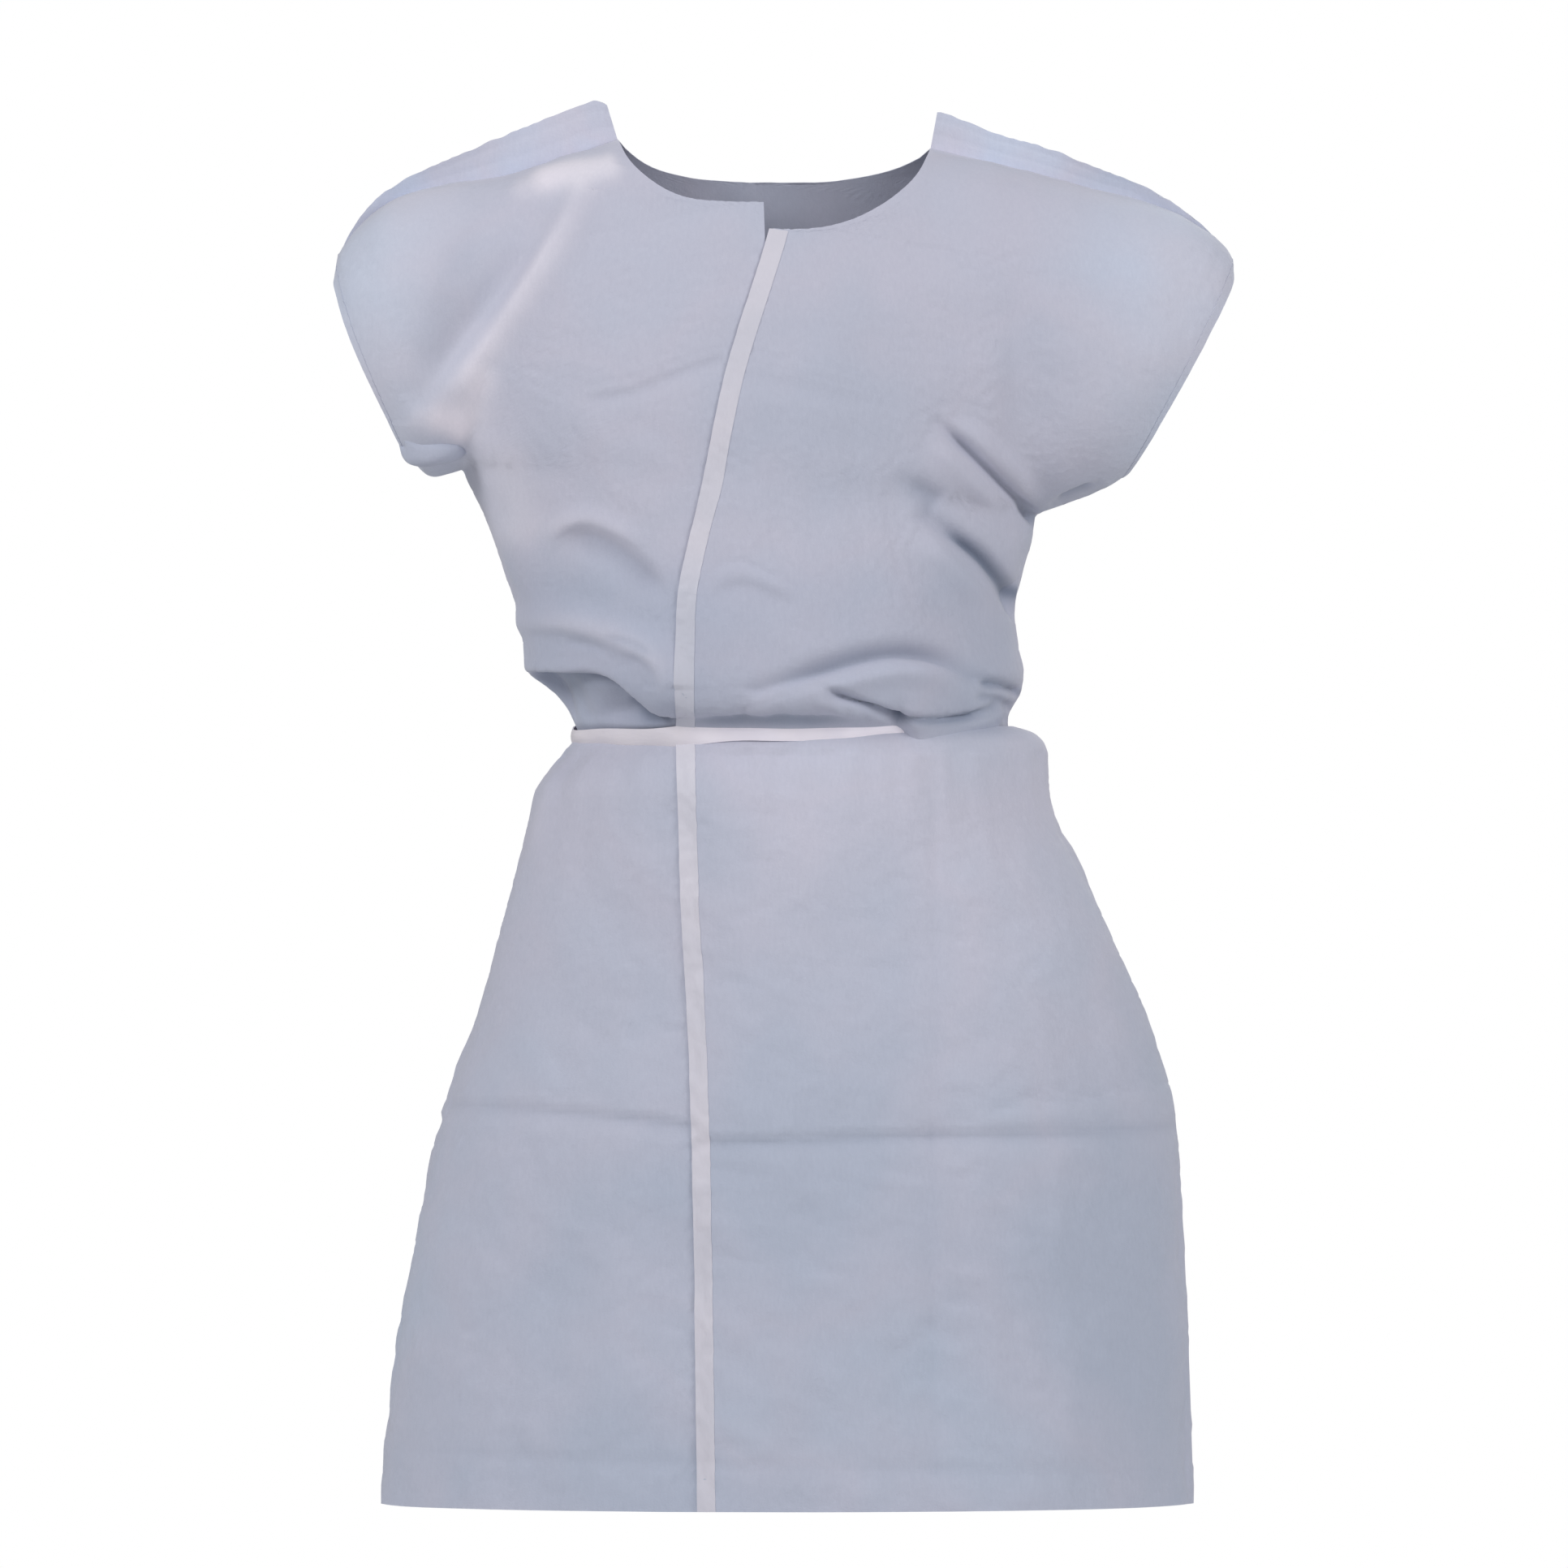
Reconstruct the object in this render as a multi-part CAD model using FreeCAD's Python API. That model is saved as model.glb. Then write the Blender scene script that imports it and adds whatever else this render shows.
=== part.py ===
import FreeCAD, Part
import math
import os

# Disposable front-opening patient gown, drawn as it hangs on a wearer, in millimetres.
# +Z is up, the front faces -Y, and +X is the wearer's left. The origin is the middle of the neck
# opening, between the two points where the shoulder seams rest on the neck.

Vector = FreeCAD.Vector

# Driving dimensions
WALL = 2.0              # wall of every panel
HEM_Z = -965.0          # lower edge of the skirt
WAIST_Z = -417.0        # middle of the belt
BELT_WIDTH = 13.0
BELT_WALL = 1.6
BELT_BAND = BELT_WIDTH / 2 + 1.0   # half the height of the straight band under the belt
BELT_GAP = 0.15
TAPE_WIDTH = 14.0       # pale tape on the free edge of the front
TAPE_WALL = 1.0
LAP_DEPTH = 7.5         # how far the under front lies behind the top front
SHOULDER_DEPTH = 4.0    # half the gap between front and back along the shoulder seam
CHEST_DEPTH = 112.0     # front of the chest, measured from the shoulder line
BACK_DEPTH = 108.0
SLEEVE_DEPTH = 75.0     # half the depth of the armhole
CHEST_ROUNDING = 0.6    # under 1, so that the chest deepens soon below the shoulder
CHEST_MARGIN = 1.08     # the chest is at least this many times as deep as the armhole
UNDER_MARGIN = 1.03     # the same for the under front, which lies behind the top front
SEAM_WALL = 3.0         # two bonded layers of the shoulder seam
SLEEVE_HEM_WALL = 3.0   # the turned hem, two layers
SLEEVE_HEM_START = 0.8  # share of the sleeve's last length at which the hem starts
JOINT_GAP = 3.0         # clear strip between a body and the one that turns on it
FLAP_TOP_Z = -450.0     # where the front edge starts to fold open
UNDER_TOP_Z = -640.0
FLAP_DROP = 25.0        # how far below the top of its fold a free corner starts
SKIRT_TAPE_DROP = 80.0

# Rings around the body: height, right side, left side, front depth, back depth
ARMPIT = (-238.0, -222.0, 187.0, CHEST_DEPTH, BACK_DEPTH)
RIBS = (-300.0, -190.0, 174.0, 122.0, 110.0)
BLOUSE = (-374.0, -177.0, 178.0, 132.0, 114.0)
TUCK = (-396.0, -162.0, 174.0, 127.0, 110.0)
WAIST = (WAIST_Z, -141.0, 170.0, 106.0, 98.0)
BELT_TOP = (WAIST_Z + BELT_BAND,) + WAIST[1:]
BELT_LOW = (WAIST_Z - BELT_BAND,) + WAIST[1:]
HIP_TOP = (-450.0, -167.0, 195.0, 114.0, 106.0)
HIP = (-530.0, -189.0, 224.0, 122.0, 114.0)
THIGH = (-680.0, -233.0, 284.0, 134.0, 126.0)
KNEE = (-820.0, -262.0, 295.0, 142.0, 134.0)
HEM = (HEM_Z, -280.0, 300.0, 150.0, 142.0)
BODICE_RINGS = (RIBS, BLOUSE, TUCK, BELT_TOP, WAIST)
SKIRT_RINGS = (WAIST, BELT_LOW, HIP_TOP, HIP, THIGH, KNEE, HEM)

# The armhole lines, as (x, z) at the shoulder and at the armpit, and the rings of each sleeve
ARMHOLE = {
    "right": ((-165.0, -10.0), (-222.0, -226.0)),
    "left": ((165.0, -9.0), (187.0, -258.0)),
}
SLEEVE_TOPS = {
    "right": ((-215.0, -22.0), (-258.0, -34.0), (-292.0, -54.0), (-313.0, -94.0)),
    "left": ((219.0, -22.0), (262.0, -34.0), (300.0, -52.0), (329.0, -88.0)),
}
SLEEVE_BOTTOMS = {
    "right": ((-232.0, -231.0), (-241.0, -235.0), (-250.0, -234.0), (-258.0, -212.0)),
    "left": ((205.0, -256.0), (222.0, -252.0), (238.0, -246.0), (252.0, -228.0)),
}
SLEEVE_DEPTHS = (76.0, 75.0, 70.0, 60.0)
YOKE_TOP_Z = {"right": 43.0, "left": 31.0}   # where each shoulder line would meet the middle
SIDE = {"right": -1.0, "left": 1.0}

# Free edges of the two fronts, as (height, x) from neck to hem
TOP_EDGE = ((-50.0, 0.0), (-159.0, -35.0), (-240.0, -52.0), (-315.0, -68.0),
            (WAIST_Z, -69.0), (HEM_Z, -54.0))
UNDER_EDGE = ((-40.0, -6.0), (-238.0, 0.0), (WAIST_Z, 5.0), (HEM_Z, 30.0))
FLAP_HEM_X = 190.0       # where the fold of the top flap meets the hem
UNDER_HEM_X = -190.0

# Outlines of the upright seams in the front view, as (x, z)
SHOULDER_SEAM = {
    "right": ((-112.0, 9.6), (-121.0, 35.0), (-127.0, 37.0), (-163.0, 24.0), (-163.0, -8.6)),
    "left": ((113.0, 3.0), (117.0, 28.0), (123.0, 29.0), (163.0, 13.0), (163.0, -8.0)),
}
SLEEVE_SEAM = {
    "right": ((-168.0, -9.0), (-168.0, 22.0), (-215.0, 3.0), (-250.0, -12.0), (-280.0, -32.0),
              (-292.0, -50.0), (-258.0, -33.0), (-215.0, -21.0)),
    "left": ((168.0, -8.0), (168.0, 11.0), (219.0, -7.0), (258.0, -19.0), (286.0, -36.0),
             (300.0, -49.0), (262.0, -33.0), (219.0, -21.0)),
}

# Belt knot and free ends
KNOT_SIZE = (26.0, 11.0, 14.0)
KNOT_ROUND = 4.0
TAIL_LENGTH = {"right": 250.0, "left": 215.0}
TAIL_START = (3.0, 10.0, -12.0)   # from the belt's middle at the back to a tail's inner corner
TAIL_SPREAD = 34.0
TAIL_AWAY = 26.0                  # how far the lower end stands off the belt's plane

YOKE_STEPS = (0.0, 0.05, 0.15, 0.3, 0.5, 0.75, 1.0)
TAPE_STEPS = (0.4, 0.5, 0.75, 1.0)
POINTS = 9               # points on each curve around the body


def along(table, height):
    """The value at a height, between the rows of a table that runs downwards."""
    if height >= table[0][0]:
        return table[0][1]
    for (high, first), (low, last) in zip(table, table[1:]):
        if height >= low:
            return first + (last - first) * (high - height) / (high - low)
    return table[-1][1]


def top_hinge_x(height):
    """The fold line of the top front's free corner."""
    start = along(TOP_EDGE, FLAP_TOP_Z)
    share = (FLAP_TOP_Z - height) / (FLAP_TOP_Z - HEM_Z)
    return start + (FLAP_HEM_X - start) * max(0.0, share)


def under_hinge_x(height):
    """The fold line of the under front's free corner."""
    start = along(UNDER_EDGE, UNDER_TOP_Z)
    share = (UNDER_TOP_Z - height) / (UNDER_TOP_Z - HEM_Z)
    return start + (UNDER_HEM_X - start) * max(0.0, share)


class Arc:
    """Part of an ellipse that stands in a plane holding the Y axis.

    centre and outer are (x, z) points; depth is the half axis along Y, and end_depth is how deep
    the curve still is when it reaches outer.
    """

    def __init__(self, centre, outer, depth, end_depth=0.0):
        span_x = outer[0] - centre[0]
        span_z = outer[1] - centre[1]
        self.reach = math.hypot(span_x, span_z)
        self.centre = Vector(centre[0], 0.0, centre[1])
        self.out = Vector(span_x / self.reach, 0.0, span_z / self.reach)
        self.depth = depth
        self.half = self.reach / math.sqrt(1.0 - (end_depth / depth) ** 2)

    def start_at(self, x):
        """The distance along the plane at which the curve has this x."""
        return (x - self.centre.x) / self.out.x

    def points(self, first, last, facing, lift):
        """Points from one distance to another, lifted off the curve along its normal."""
        start = math.asin(max(-1.0, min(1.0, first / self.half)))
        end = math.asin(max(-1.0, min(1.0, last / self.half)))
        row = []
        for step in range(POINTS):
            turn = start + (end - start) * step / (POINTS - 1)
            side = self.half * math.sin(turn)
            deep = self.depth * math.cos(turn)
            forward = Vector(0, facing, 0)
            normal = self.out * (side / self.half ** 2) + forward * (deep / self.depth ** 2)
            normal.normalize()
            row.append(self.centre + self.out * side + forward * deep + normal * lift)
        return row


def curve(points):
    """A smooth edge through points."""
    spline = Part.BSplineCurve()
    spline.interpolate(points)
    return spline.toShape()


def band_wire(outer, inner):
    """The closed outline of a wall between two curves."""
    return Part.Wire([
        curve(outer),
        Part.makeLine(outer[-1], inner[-1]),
        curve(inner[::-1]),
        Part.makeLine(inner[0], outer[0]),
    ])


def wall(sections):
    """A thin wall through sections, each an outer and an inner row of points."""
    return Part.makeLoft([band_wire(outer, inner) for outer, inner in sections], True, True)


def section(arc, first, last, facing, lift=0.0, thick=WALL):
    """One section of a wall: its outer points and its inner points."""
    return arc.points(first, last, facing, lift), arc.points(first, last, facing, lift - thick)


def ring_arc(ring, side, facing, inset=0.0):
    """The ellipse of a ring towards one side of the body."""
    height, right, left, front, back = ring
    middle = (right + left) / 2
    outer = right if side == "right" else left
    depth = front if facing < 0 else back
    return Arc((middle, height), (outer, height), depth - inset)


def yoke_arc(side, share, facing, inset=0.0):
    """The ellipse across the chest or back at a share of the way from shoulder to armpit."""
    (top_x, top_z), (low_x, low_z) = ARMHOLE[side]
    outer = (top_x + (low_x - top_x) * share, top_z + (low_z - top_z) * share)
    middle_x = (ARMPIT[1] + ARMPIT[2]) / 2
    middle_z = YOKE_TOP_Z[side] + (ARMPIT[0] - YOKE_TOP_Z[side]) * share
    full = CHEST_DEPTH if facing < 0 else BACK_DEPTH
    end_depth = SLEEVE_DEPTH * math.sqrt(max(0.0, 1.0 - (1.0 - 2.0 * share) ** 2))
    rounding = math.sin(math.pi / 2 * share ** CHEST_ROUNDING)
    depth = SHOULDER_DEPTH + (full - SHOULDER_DEPTH) * rounding
    depth = max(depth, CHEST_MARGIN * end_depth)
    room = depth - UNDER_MARGIN * end_depth - SHOULDER_DEPTH
    return Arc((middle_x, middle_z), outer, depth - max(0.0, min(inset, room)), end_depth)


def between(arc, inner_x, facing, lift=0.0, thick=WALL):
    """A section from an x near the middle out to the side."""
    return section(arc, arc.start_at(inner_x), arc.reach, facing, lift, thick)


# Neckline

RIGHT_NECK = ((-111, 12), (-104, -4), (-86, -24), (-60, -35), (-30, -38), (6, -39))
LEFT_NECK = ((-12, -57), (27, -58), (52, -52), (85, -33), (104, -8), (113, 8))
BACK_NECK = ((-111, 12), (-80, -8), (-40, -18), (0, -20), (40, -18), (80, -8), (113, 8))
NECK_BLOCK_Z = 90.0      # top of the block that cuts the neck opening
NECK_BLOCK_DEPTH = 150.0


def neck_cutter(outline, facing):
    """A block that cuts the neck opening, from the outline of its lower edge."""
    near_y = -facing * SHOULDER_DEPTH
    lower = [Vector(x, near_y, z) for x, z in outline]
    high_end = Vector(lower[-1].x, near_y, NECK_BLOCK_Z)
    high_start = Vector(lower[0].x, near_y, NECK_BLOCK_Z)
    face = Part.Face(Part.Wire([
        curve(lower),
        Part.makeLine(lower[-1], high_end),
        Part.makeLine(high_end, high_start),
        Part.makeLine(high_start, lower[0]),
    ]))
    return face.extrude(Vector(0, facing * NECK_BLOCK_DEPTH, 0))


# Panels of the upper gown

def front_yoke(side):
    """Chest panel from the armpit up to the shoulder seam."""
    sections = []
    for share in YOKE_STEPS:
        edge = UNDER_EDGE if side == "right" else TOP_EDGE
        inset = LAP_DEPTH if side == "right" else 0.0
        arc = yoke_arc(side, share, -1, inset)
        sections.append(between(arc, along(edge, arc.centre.z), -1))
    outline = RIGHT_NECK if side == "right" else LEFT_NECK
    return wall(sections).cut(neck_cutter(outline, -1))


def back_yoke(side):
    """Half of the back panel above the armpits, up to the shoulder seam."""
    middle_x = (ARMPIT[1] + ARMPIT[2]) / 2
    sections = [between(yoke_arc(side, share, 1), middle_x, 1) for share in YOKE_STEPS]
    return wall(sections).cut(neck_cutter(BACK_NECK, 1))


def front_bodice(side):
    """Front panel between the armpit and the belt, gathered in at the waist."""
    edge = UNDER_EDGE if side == "right" else TOP_EDGE
    inset = LAP_DEPTH if side == "right" else 0.0
    top = yoke_arc(side, 1.0, -1, inset)
    sections = [between(top, along(edge, top.centre.z), -1)]
    for ring in BODICE_RINGS:
        arc = ring_arc(ring, side, -1, inset)
        sections.append(between(arc, along(edge, ring[0]), -1))
    return wall(sections)


def back_bodice(side):
    """Half of the back panel between the armpit and the belt."""
    top = yoke_arc(side, 1.0, 1)
    sections = [section(top, 0.0, top.reach, 1)]
    for ring in BODICE_RINGS:
        arc = ring_arc(ring, side, 1)
        sections.append(section(arc, 0.0, arc.reach, 1))
    return wall(sections)


# Skirt

def fixed_skirt(side):
    """The part of a front skirt panel that stays with the belt and the side."""
    edge = UNDER_EDGE if side == "right" else TOP_EDGE
    inset = LAP_DEPTH if side == "right" else 0.0
    fold_top = UNDER_TOP_Z if side == "right" else FLAP_TOP_Z
    hinge = under_hinge_x if side == "right" else top_hinge_x
    sections = []
    for ring in with_level(SKIRT_RINGS, fold_top):
        arc = ring_arc(ring, side, -1, inset)
        inner_x = hinge(ring[0]) if ring[0] < fold_top else along(edge, ring[0])
        sections.append(between(arc, inner_x, -1))
    return wall(sections)


def skirt_flap(side):
    """The free corner of a front skirt panel, which can fold open."""
    edge = UNDER_EDGE if side == "right" else TOP_EDGE
    inset = LAP_DEPTH if side == "right" else 0.0
    hinge = under_hinge_x if side == "right" else top_hinge_x
    start = (UNDER_TOP_Z if side == "right" else FLAP_TOP_Z) - FLAP_DROP
    sections = []
    for ring in with_level(SKIRT_RINGS, start):
        if ring[0] > start:
            continue
        arc = ring_arc(ring, side, -1, inset)
        inner = arc.start_at(along(edge, ring[0]))
        outer = arc.start_at(hinge(ring[0]) - JOINT_GAP * SIDE[side])
        sections.append(section(arc, inner, outer, -1))
    return wall(sections)


def with_level(rings, height):
    """The rings with one more at a height, worked out between its neighbours."""
    if any(abs(ring[0] - height) < 1.0 for ring in rings):
        return list(rings)
    full = []
    for upper, lower in zip(rings, rings[1:]):
        full.append(upper)
        if upper[0] > height > lower[0]:
            share = (upper[0] - height) / (upper[0] - lower[0])
            full.append(tuple(a + (b - a) * share for a, b in zip(upper, lower)))
    full.append(rings[-1])
    return full


def back_skirt(side):
    """Half of the back panel below the belt."""
    sections = []
    for ring in SKIRT_RINGS:
        arc = ring_arc(ring, side, 1)
        sections.append(section(arc, 0.0, arc.reach, 1))
    return wall(sections)


# Tapes on the top front's free edge

def bodice_tape():
    """The pale tape from the neckline down to the belt."""
    sections = []
    for share in TAPE_STEPS:
        arc = yoke_arc("left", share, -1)
        sections.append(tape_section(arc, arc.centre.z))
    for ring in (RIBS, BLOUSE):
        sections.append(tape_section(ring_arc(ring, "left", -1), ring[0]))
    return wall(sections)


def skirt_tape():
    """The pale tape along the free corner of the skirt, down to the hem."""
    start = FLAP_TOP_Z - SKIRT_TAPE_DROP
    sections = []
    for ring in with_level(SKIRT_RINGS, start):
        if ring[0] <= start:
            sections.append(tape_section(ring_arc(ring, "left", -1), ring[0]))
    return wall(sections)


def tape_section(arc, height):
    """A short section lying on the outside of the top front."""
    first = arc.start_at(along(TOP_EDGE, height))
    return section(arc, first, first + TAPE_WIDTH, -1, TAPE_WALL, TAPE_WALL)


# Sleeves and shoulder seams

def sleeve_rings(side):
    """Centre, direction towards the top, half height and half depth of each sleeve ring."""
    tops = (ARMHOLE[side][0],) + SLEEVE_TOPS[side]
    bottoms = (ARMHOLE[side][1],) + SLEEVE_BOTTOMS[side]
    depths = (SLEEVE_DEPTH,) + SLEEVE_DEPTHS
    rings = []
    for (top_x, top_z), (low_x, low_z), depth in zip(tops, bottoms, depths):
        height = math.hypot(top_x - low_x, top_z - low_z)
        centre = Vector((top_x + low_x) / 2, 0, (top_z + low_z) / 2)
        up = Vector((top_x - low_x) / height, 0, (top_z - low_z) / height)
        rings.append((centre, up, height / 2, depth))
    return rings


def sleeve_row(ring, facing, shrink):
    """Half of a sleeve ring, from its top to its underside."""
    centre, up, half, depth = ring
    row = []
    for step in range(POINTS):
        turn = math.pi * step / (POINTS - 1)
        rise = (half - shrink) * math.cos(turn)
        deep = (depth - shrink) * math.sin(turn)
        row.append(centre + up * rise + Vector(0, facing * deep, 0))
    return row


def mix_ring(first, last, share):
    """A ring part of the way between two others."""
    centre = first[0] + (last[0] - first[0]) * share
    up = first[1] + (last[1] - first[1]) * share
    up.normalize()
    half = first[2] + (last[2] - first[2]) * share
    depth = first[3] + (last[3] - first[3]) * share
    return centre, up, half, depth


def sleeve_half(side, facing):
    """The front or the back of a cap sleeve, out to its hem."""
    rings = sleeve_rings(side)
    first_length = (rings[1][0] - rings[0][0]).Length
    start = mix_ring(rings[0], rings[1], JOINT_GAP / first_length)
    end = mix_ring(rings[-2], rings[-1], SLEEVE_HEM_START)
    kept = [start] + rings[1:-1] + [end]
    return wall([(sleeve_row(ring, facing, 0), sleeve_row(ring, facing, WALL)) for ring in kept])


def sleeve_hem(side):
    """The turned hem around the armhole's edge."""
    rings = sleeve_rings(side)
    ends = [mix_ring(rings[-2], rings[-1], SLEEVE_HEM_START), rings[-1]]
    halves = []
    for facing in (-1, 1):
        rows = []
        for ring in ends:
            rows.append((sleeve_row(ring, facing, 0), sleeve_row(ring, facing, SLEEVE_HEM_WALL)))
        halves.append(wall(rows))
    return halves[0].fuse(halves[1]).removeSplitter()


def upright_seam(outline):
    """A bonded seam that stands up from the shoulder, from its outline in the front view."""
    corners = [Vector(x, -SEAM_WALL / 2, z) for x, z in outline]
    return Part.Face(Part.makePolygon(corners + corners[:1])).extrude(Vector(0, SEAM_WALL, 0))


# Belt

def belt():
    """The waist belt, a flat strip drawn tight round the gown."""
    halves = []
    for facing in (-1, 1):
        for side in ("right", "left"):
            arc = ring_arc(WAIST, side, facing)
            rows = section(arc, 0.0, arc.reach, facing, BELT_WALL + BELT_GAP, BELT_WALL)
            shifted = []
            for height in (BELT_WIDTH / 2, -BELT_WIDTH / 2):
                shift = Vector(0, 0, height)
                shifted.append(([p + shift for p in rows[0]], [p + shift for p in rows[1]]))
            halves.append(wall(shifted))
    ring = halves[0]
    for half in halves[1:]:
        ring = ring.fuse(half)
    return ring.removeSplitter()


def knot():
    """The knot of the belt at the back."""
    wide, deep, high = KNOT_SIZE
    middle_x = (WAIST[1] + WAIST[2]) / 2
    back_y = WAIST[4] + BELT_WALL + 2 * BELT_GAP
    corner = Vector(middle_x - wide / 2, back_y, WAIST_Z - high / 2)
    body = Part.makeBox(wide, deep, high, corner)
    return body.makeFillet(KNOT_ROUND, body.Edges)


def belt_tail(side):
    """A free end of the belt, hanging from the knot down the back of the skirt."""
    middle_x = (WAIST[1] + WAIST[2]) / 2
    sign = SIDE[side]
    start_x, start_y, start_z = TAIL_START
    top = Vector(middle_x + sign * start_x, WAIST[4] + start_y, WAIST_Z + start_z)
    bottom = top + Vector(sign * TAIL_SPREAD, TAIL_AWAY, -TAIL_LENGTH[side])
    ends = []
    for point in (top, bottom):
        corners = [
            point,
            point + Vector(sign * BELT_WIDTH, 0, 0),
            point + Vector(sign * BELT_WIDTH, BELT_WALL, 0),
            point + Vector(0, BELT_WALL, 0),
        ]
        ends.append(Part.makePolygon(corners + corners[:1]))
    return Part.makeLoft(ends, True, True)


def build():
    """Every node of the gown by name."""
    nodes = {}
    for side in ("right", "left"):
        nodes[side + "_front_yoke"] = front_yoke(side)
        nodes[side + "_front_bodice"] = front_bodice(side)
        nodes[side + "_front_skirt"] = fixed_skirt(side)
        nodes[side + "_skirt_flap"] = skirt_flap(side)
        nodes[side + "_back_yoke"] = back_yoke(side)
        nodes[side + "_back_bodice"] = back_bodice(side)
        nodes[side + "_back_skirt"] = back_skirt(side)
        nodes[side + "_sleeve_front"] = sleeve_half(side, -1)
        nodes[side + "_sleeve_back"] = sleeve_half(side, 1)
        nodes[side + "_sleeve_hem"] = sleeve_hem(side)
        nodes[side + "_shoulder_seam"] = upright_seam(SHOULDER_SEAM[side])
        nodes[side + "_sleeve_seam"] = upright_seam(SLEEVE_SEAM[side])
        nodes[side + "_belt_tail"] = belt_tail(side)
    nodes["bodice_edge_tape"] = bodice_tape()
    nodes["skirt_edge_tape"] = skirt_tape()
    nodes["waist_belt"] = belt()
    nodes["belt_knot"] = knot()
    return nodes


os.makedirs("parts", exist_ok=True)
for name, shape in build().items():
    shape.exportStep("parts/" + name + ".step")
    box = shape.BoundBox
    print(name, shape.isValid(), len(shape.Solids), round(shape.Volume / 1000, 1),
          [round(v) for v in (box.XMin, box.XMax, box.YMin, box.YMax, box.ZMin, box.ZMax)])
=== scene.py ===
import math
from types import SimpleNamespace

import bpy
import numpy as np
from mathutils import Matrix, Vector


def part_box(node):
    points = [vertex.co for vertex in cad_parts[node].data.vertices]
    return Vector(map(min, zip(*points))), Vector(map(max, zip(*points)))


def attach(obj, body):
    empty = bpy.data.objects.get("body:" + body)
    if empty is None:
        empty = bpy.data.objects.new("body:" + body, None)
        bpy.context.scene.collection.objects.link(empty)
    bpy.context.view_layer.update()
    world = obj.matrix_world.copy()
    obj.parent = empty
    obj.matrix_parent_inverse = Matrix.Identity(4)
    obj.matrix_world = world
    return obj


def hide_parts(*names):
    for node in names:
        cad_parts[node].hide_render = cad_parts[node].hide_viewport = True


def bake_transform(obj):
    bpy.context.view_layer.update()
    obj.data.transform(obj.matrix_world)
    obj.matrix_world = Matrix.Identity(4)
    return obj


# A disposable front-opening patient gown as it hangs on a wearer, who isn't modelled.
# The row frame is in metres: +Z up, the front faces -Y, +X is the wearer's left, and the origin is
# between the shoulder seams at the neck. Tables below are in millimetres and pass through MM.

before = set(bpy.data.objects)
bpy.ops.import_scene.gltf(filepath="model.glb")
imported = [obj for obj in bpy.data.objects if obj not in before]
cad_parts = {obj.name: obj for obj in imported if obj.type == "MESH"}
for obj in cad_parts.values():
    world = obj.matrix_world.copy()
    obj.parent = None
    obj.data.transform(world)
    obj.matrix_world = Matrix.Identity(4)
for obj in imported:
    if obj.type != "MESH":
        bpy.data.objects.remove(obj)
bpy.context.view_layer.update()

MM = 0.001
SIDES = ("right", "left")
SIGN = {"right": -1.0, "left": 1.0}
FRONT = -1.0
BACK = 1.0

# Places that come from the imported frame
WAIST_Z = sum(corner[2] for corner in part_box("waist_belt")) / 2
HEM_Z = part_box("left_front_skirt")[0][2]
BELT_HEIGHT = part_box("waist_belt")[1][2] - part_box("waist_belt")[0][2]

# Sheet and trim
SHEET_THICKNESS = 0.6 * MM
STRIP_THICKNESS = 0.3 * MM
TAPE_WIDTH = 13.5 * MM
TAPE_COLUMNS = 5           # steps of a panel's grid across the tape
HEM_COLUMNS = 4            # lines of a panel's grid in a sleeve hem
STRIP_LIFT = 0.5 * MM      # from the middle of a panel to the middle of a strip on it
FLANGE_THICKNESS = 1.3 * MM
BELT_THICKNESS = 0.8 * MM
TAIL_THICKNESS = 0.6 * MM
LAP_GAP = 1.3 * MM         # between the top front and the under front
LAP_SPAN = (-26 * MM, 4 * MM)    # where the gap opens, from the top front's edge
SEAM_GAP = 1.2 * MM        # from the middle of a shoulder seam to the front or back sheet
RIM_ANGLE = math.radians(65)     # a sharper edge than this is the rim of a sheet

# The line of each armhole in the front view, from the shoulder seam down to the armpit
ARMHOLE = {
    "right": ((-165, -10), (-222, -226)),
    "left": ((165, -9), (187, -258)),
}
# Where the front's shoulder lines would meet the middle, and the middle of the armpit line
YOKE_TOP_Z = {"right": 43, "left": 31}
ARMPIT_MIDDLE = (-17.5, -238)
CHEST_DEPTH = {FRONT: 110, BACK: 107}
CHEST_RISE = 0.6           # below 1 the chest reaches its depth sooner under the shoulder
LEAST_DEPTH = 1.08         # the middle is at least this much deeper than the armhole
MIDDLE_BLEND = (-70 * MM, 35 * MM)       # where the right side's chest runs into the left's
ARMHOLE_DEPTH = 75
NECK_ROWS = {FRONT: 0.37, BACK: 0.26}    # share of the yoke's rows that start at the neckline

# The sleeve, from the armhole line outward: its top edge, its underside and its half depth
SLEEVE_TOP = {
    "right": ((-165, -10), (-200, -18), (-240, -24), (-270, -33), (-293, -50), (-308, -70),
              (-313, -90)),
    "left": ((165, -9), (219, -24), (262, -34), (295, -48), (315, -62), (325, -75), (327, -87)),
}
SLEEVE_UNDER = {
    "right": ((-222, -226), (-232, -229), (-244, -231), (-256, -219)),
    "left": ((187, -258), (210, -250), (232, -241), (251, -229)),
}
SLEEVE_HALF_DEPTH = ((0, 75), (0.4, 77), (0.75, 72), (1.0, 60))
SLEEVE_EDGE_BULGE = 7
FLATNESS = 0.78            # below 1 the front and back hang flatter and turn under more sharply

# Necklines in the front view, from the shoulder seam to the front edge or the middle of the back
NECK = {
    ("right", FRONT): ((-111, 9.4), (-104, -5), (-88, -21), (-62, -34), (-35, -37), (-7, -38)),
    ("left", FRONT): ((112, 3), (103, -15), (84, -34), (52, -51), (25, -57), (-3, -57)),
    ("right", BACK): ((-111, 9.4), (-95, -4), (-60, -15), (-17.5, -19)),
    ("left", BACK): ((112, 3), (90, -8), (50, -17), (-17.5, -19)),
}

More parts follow.
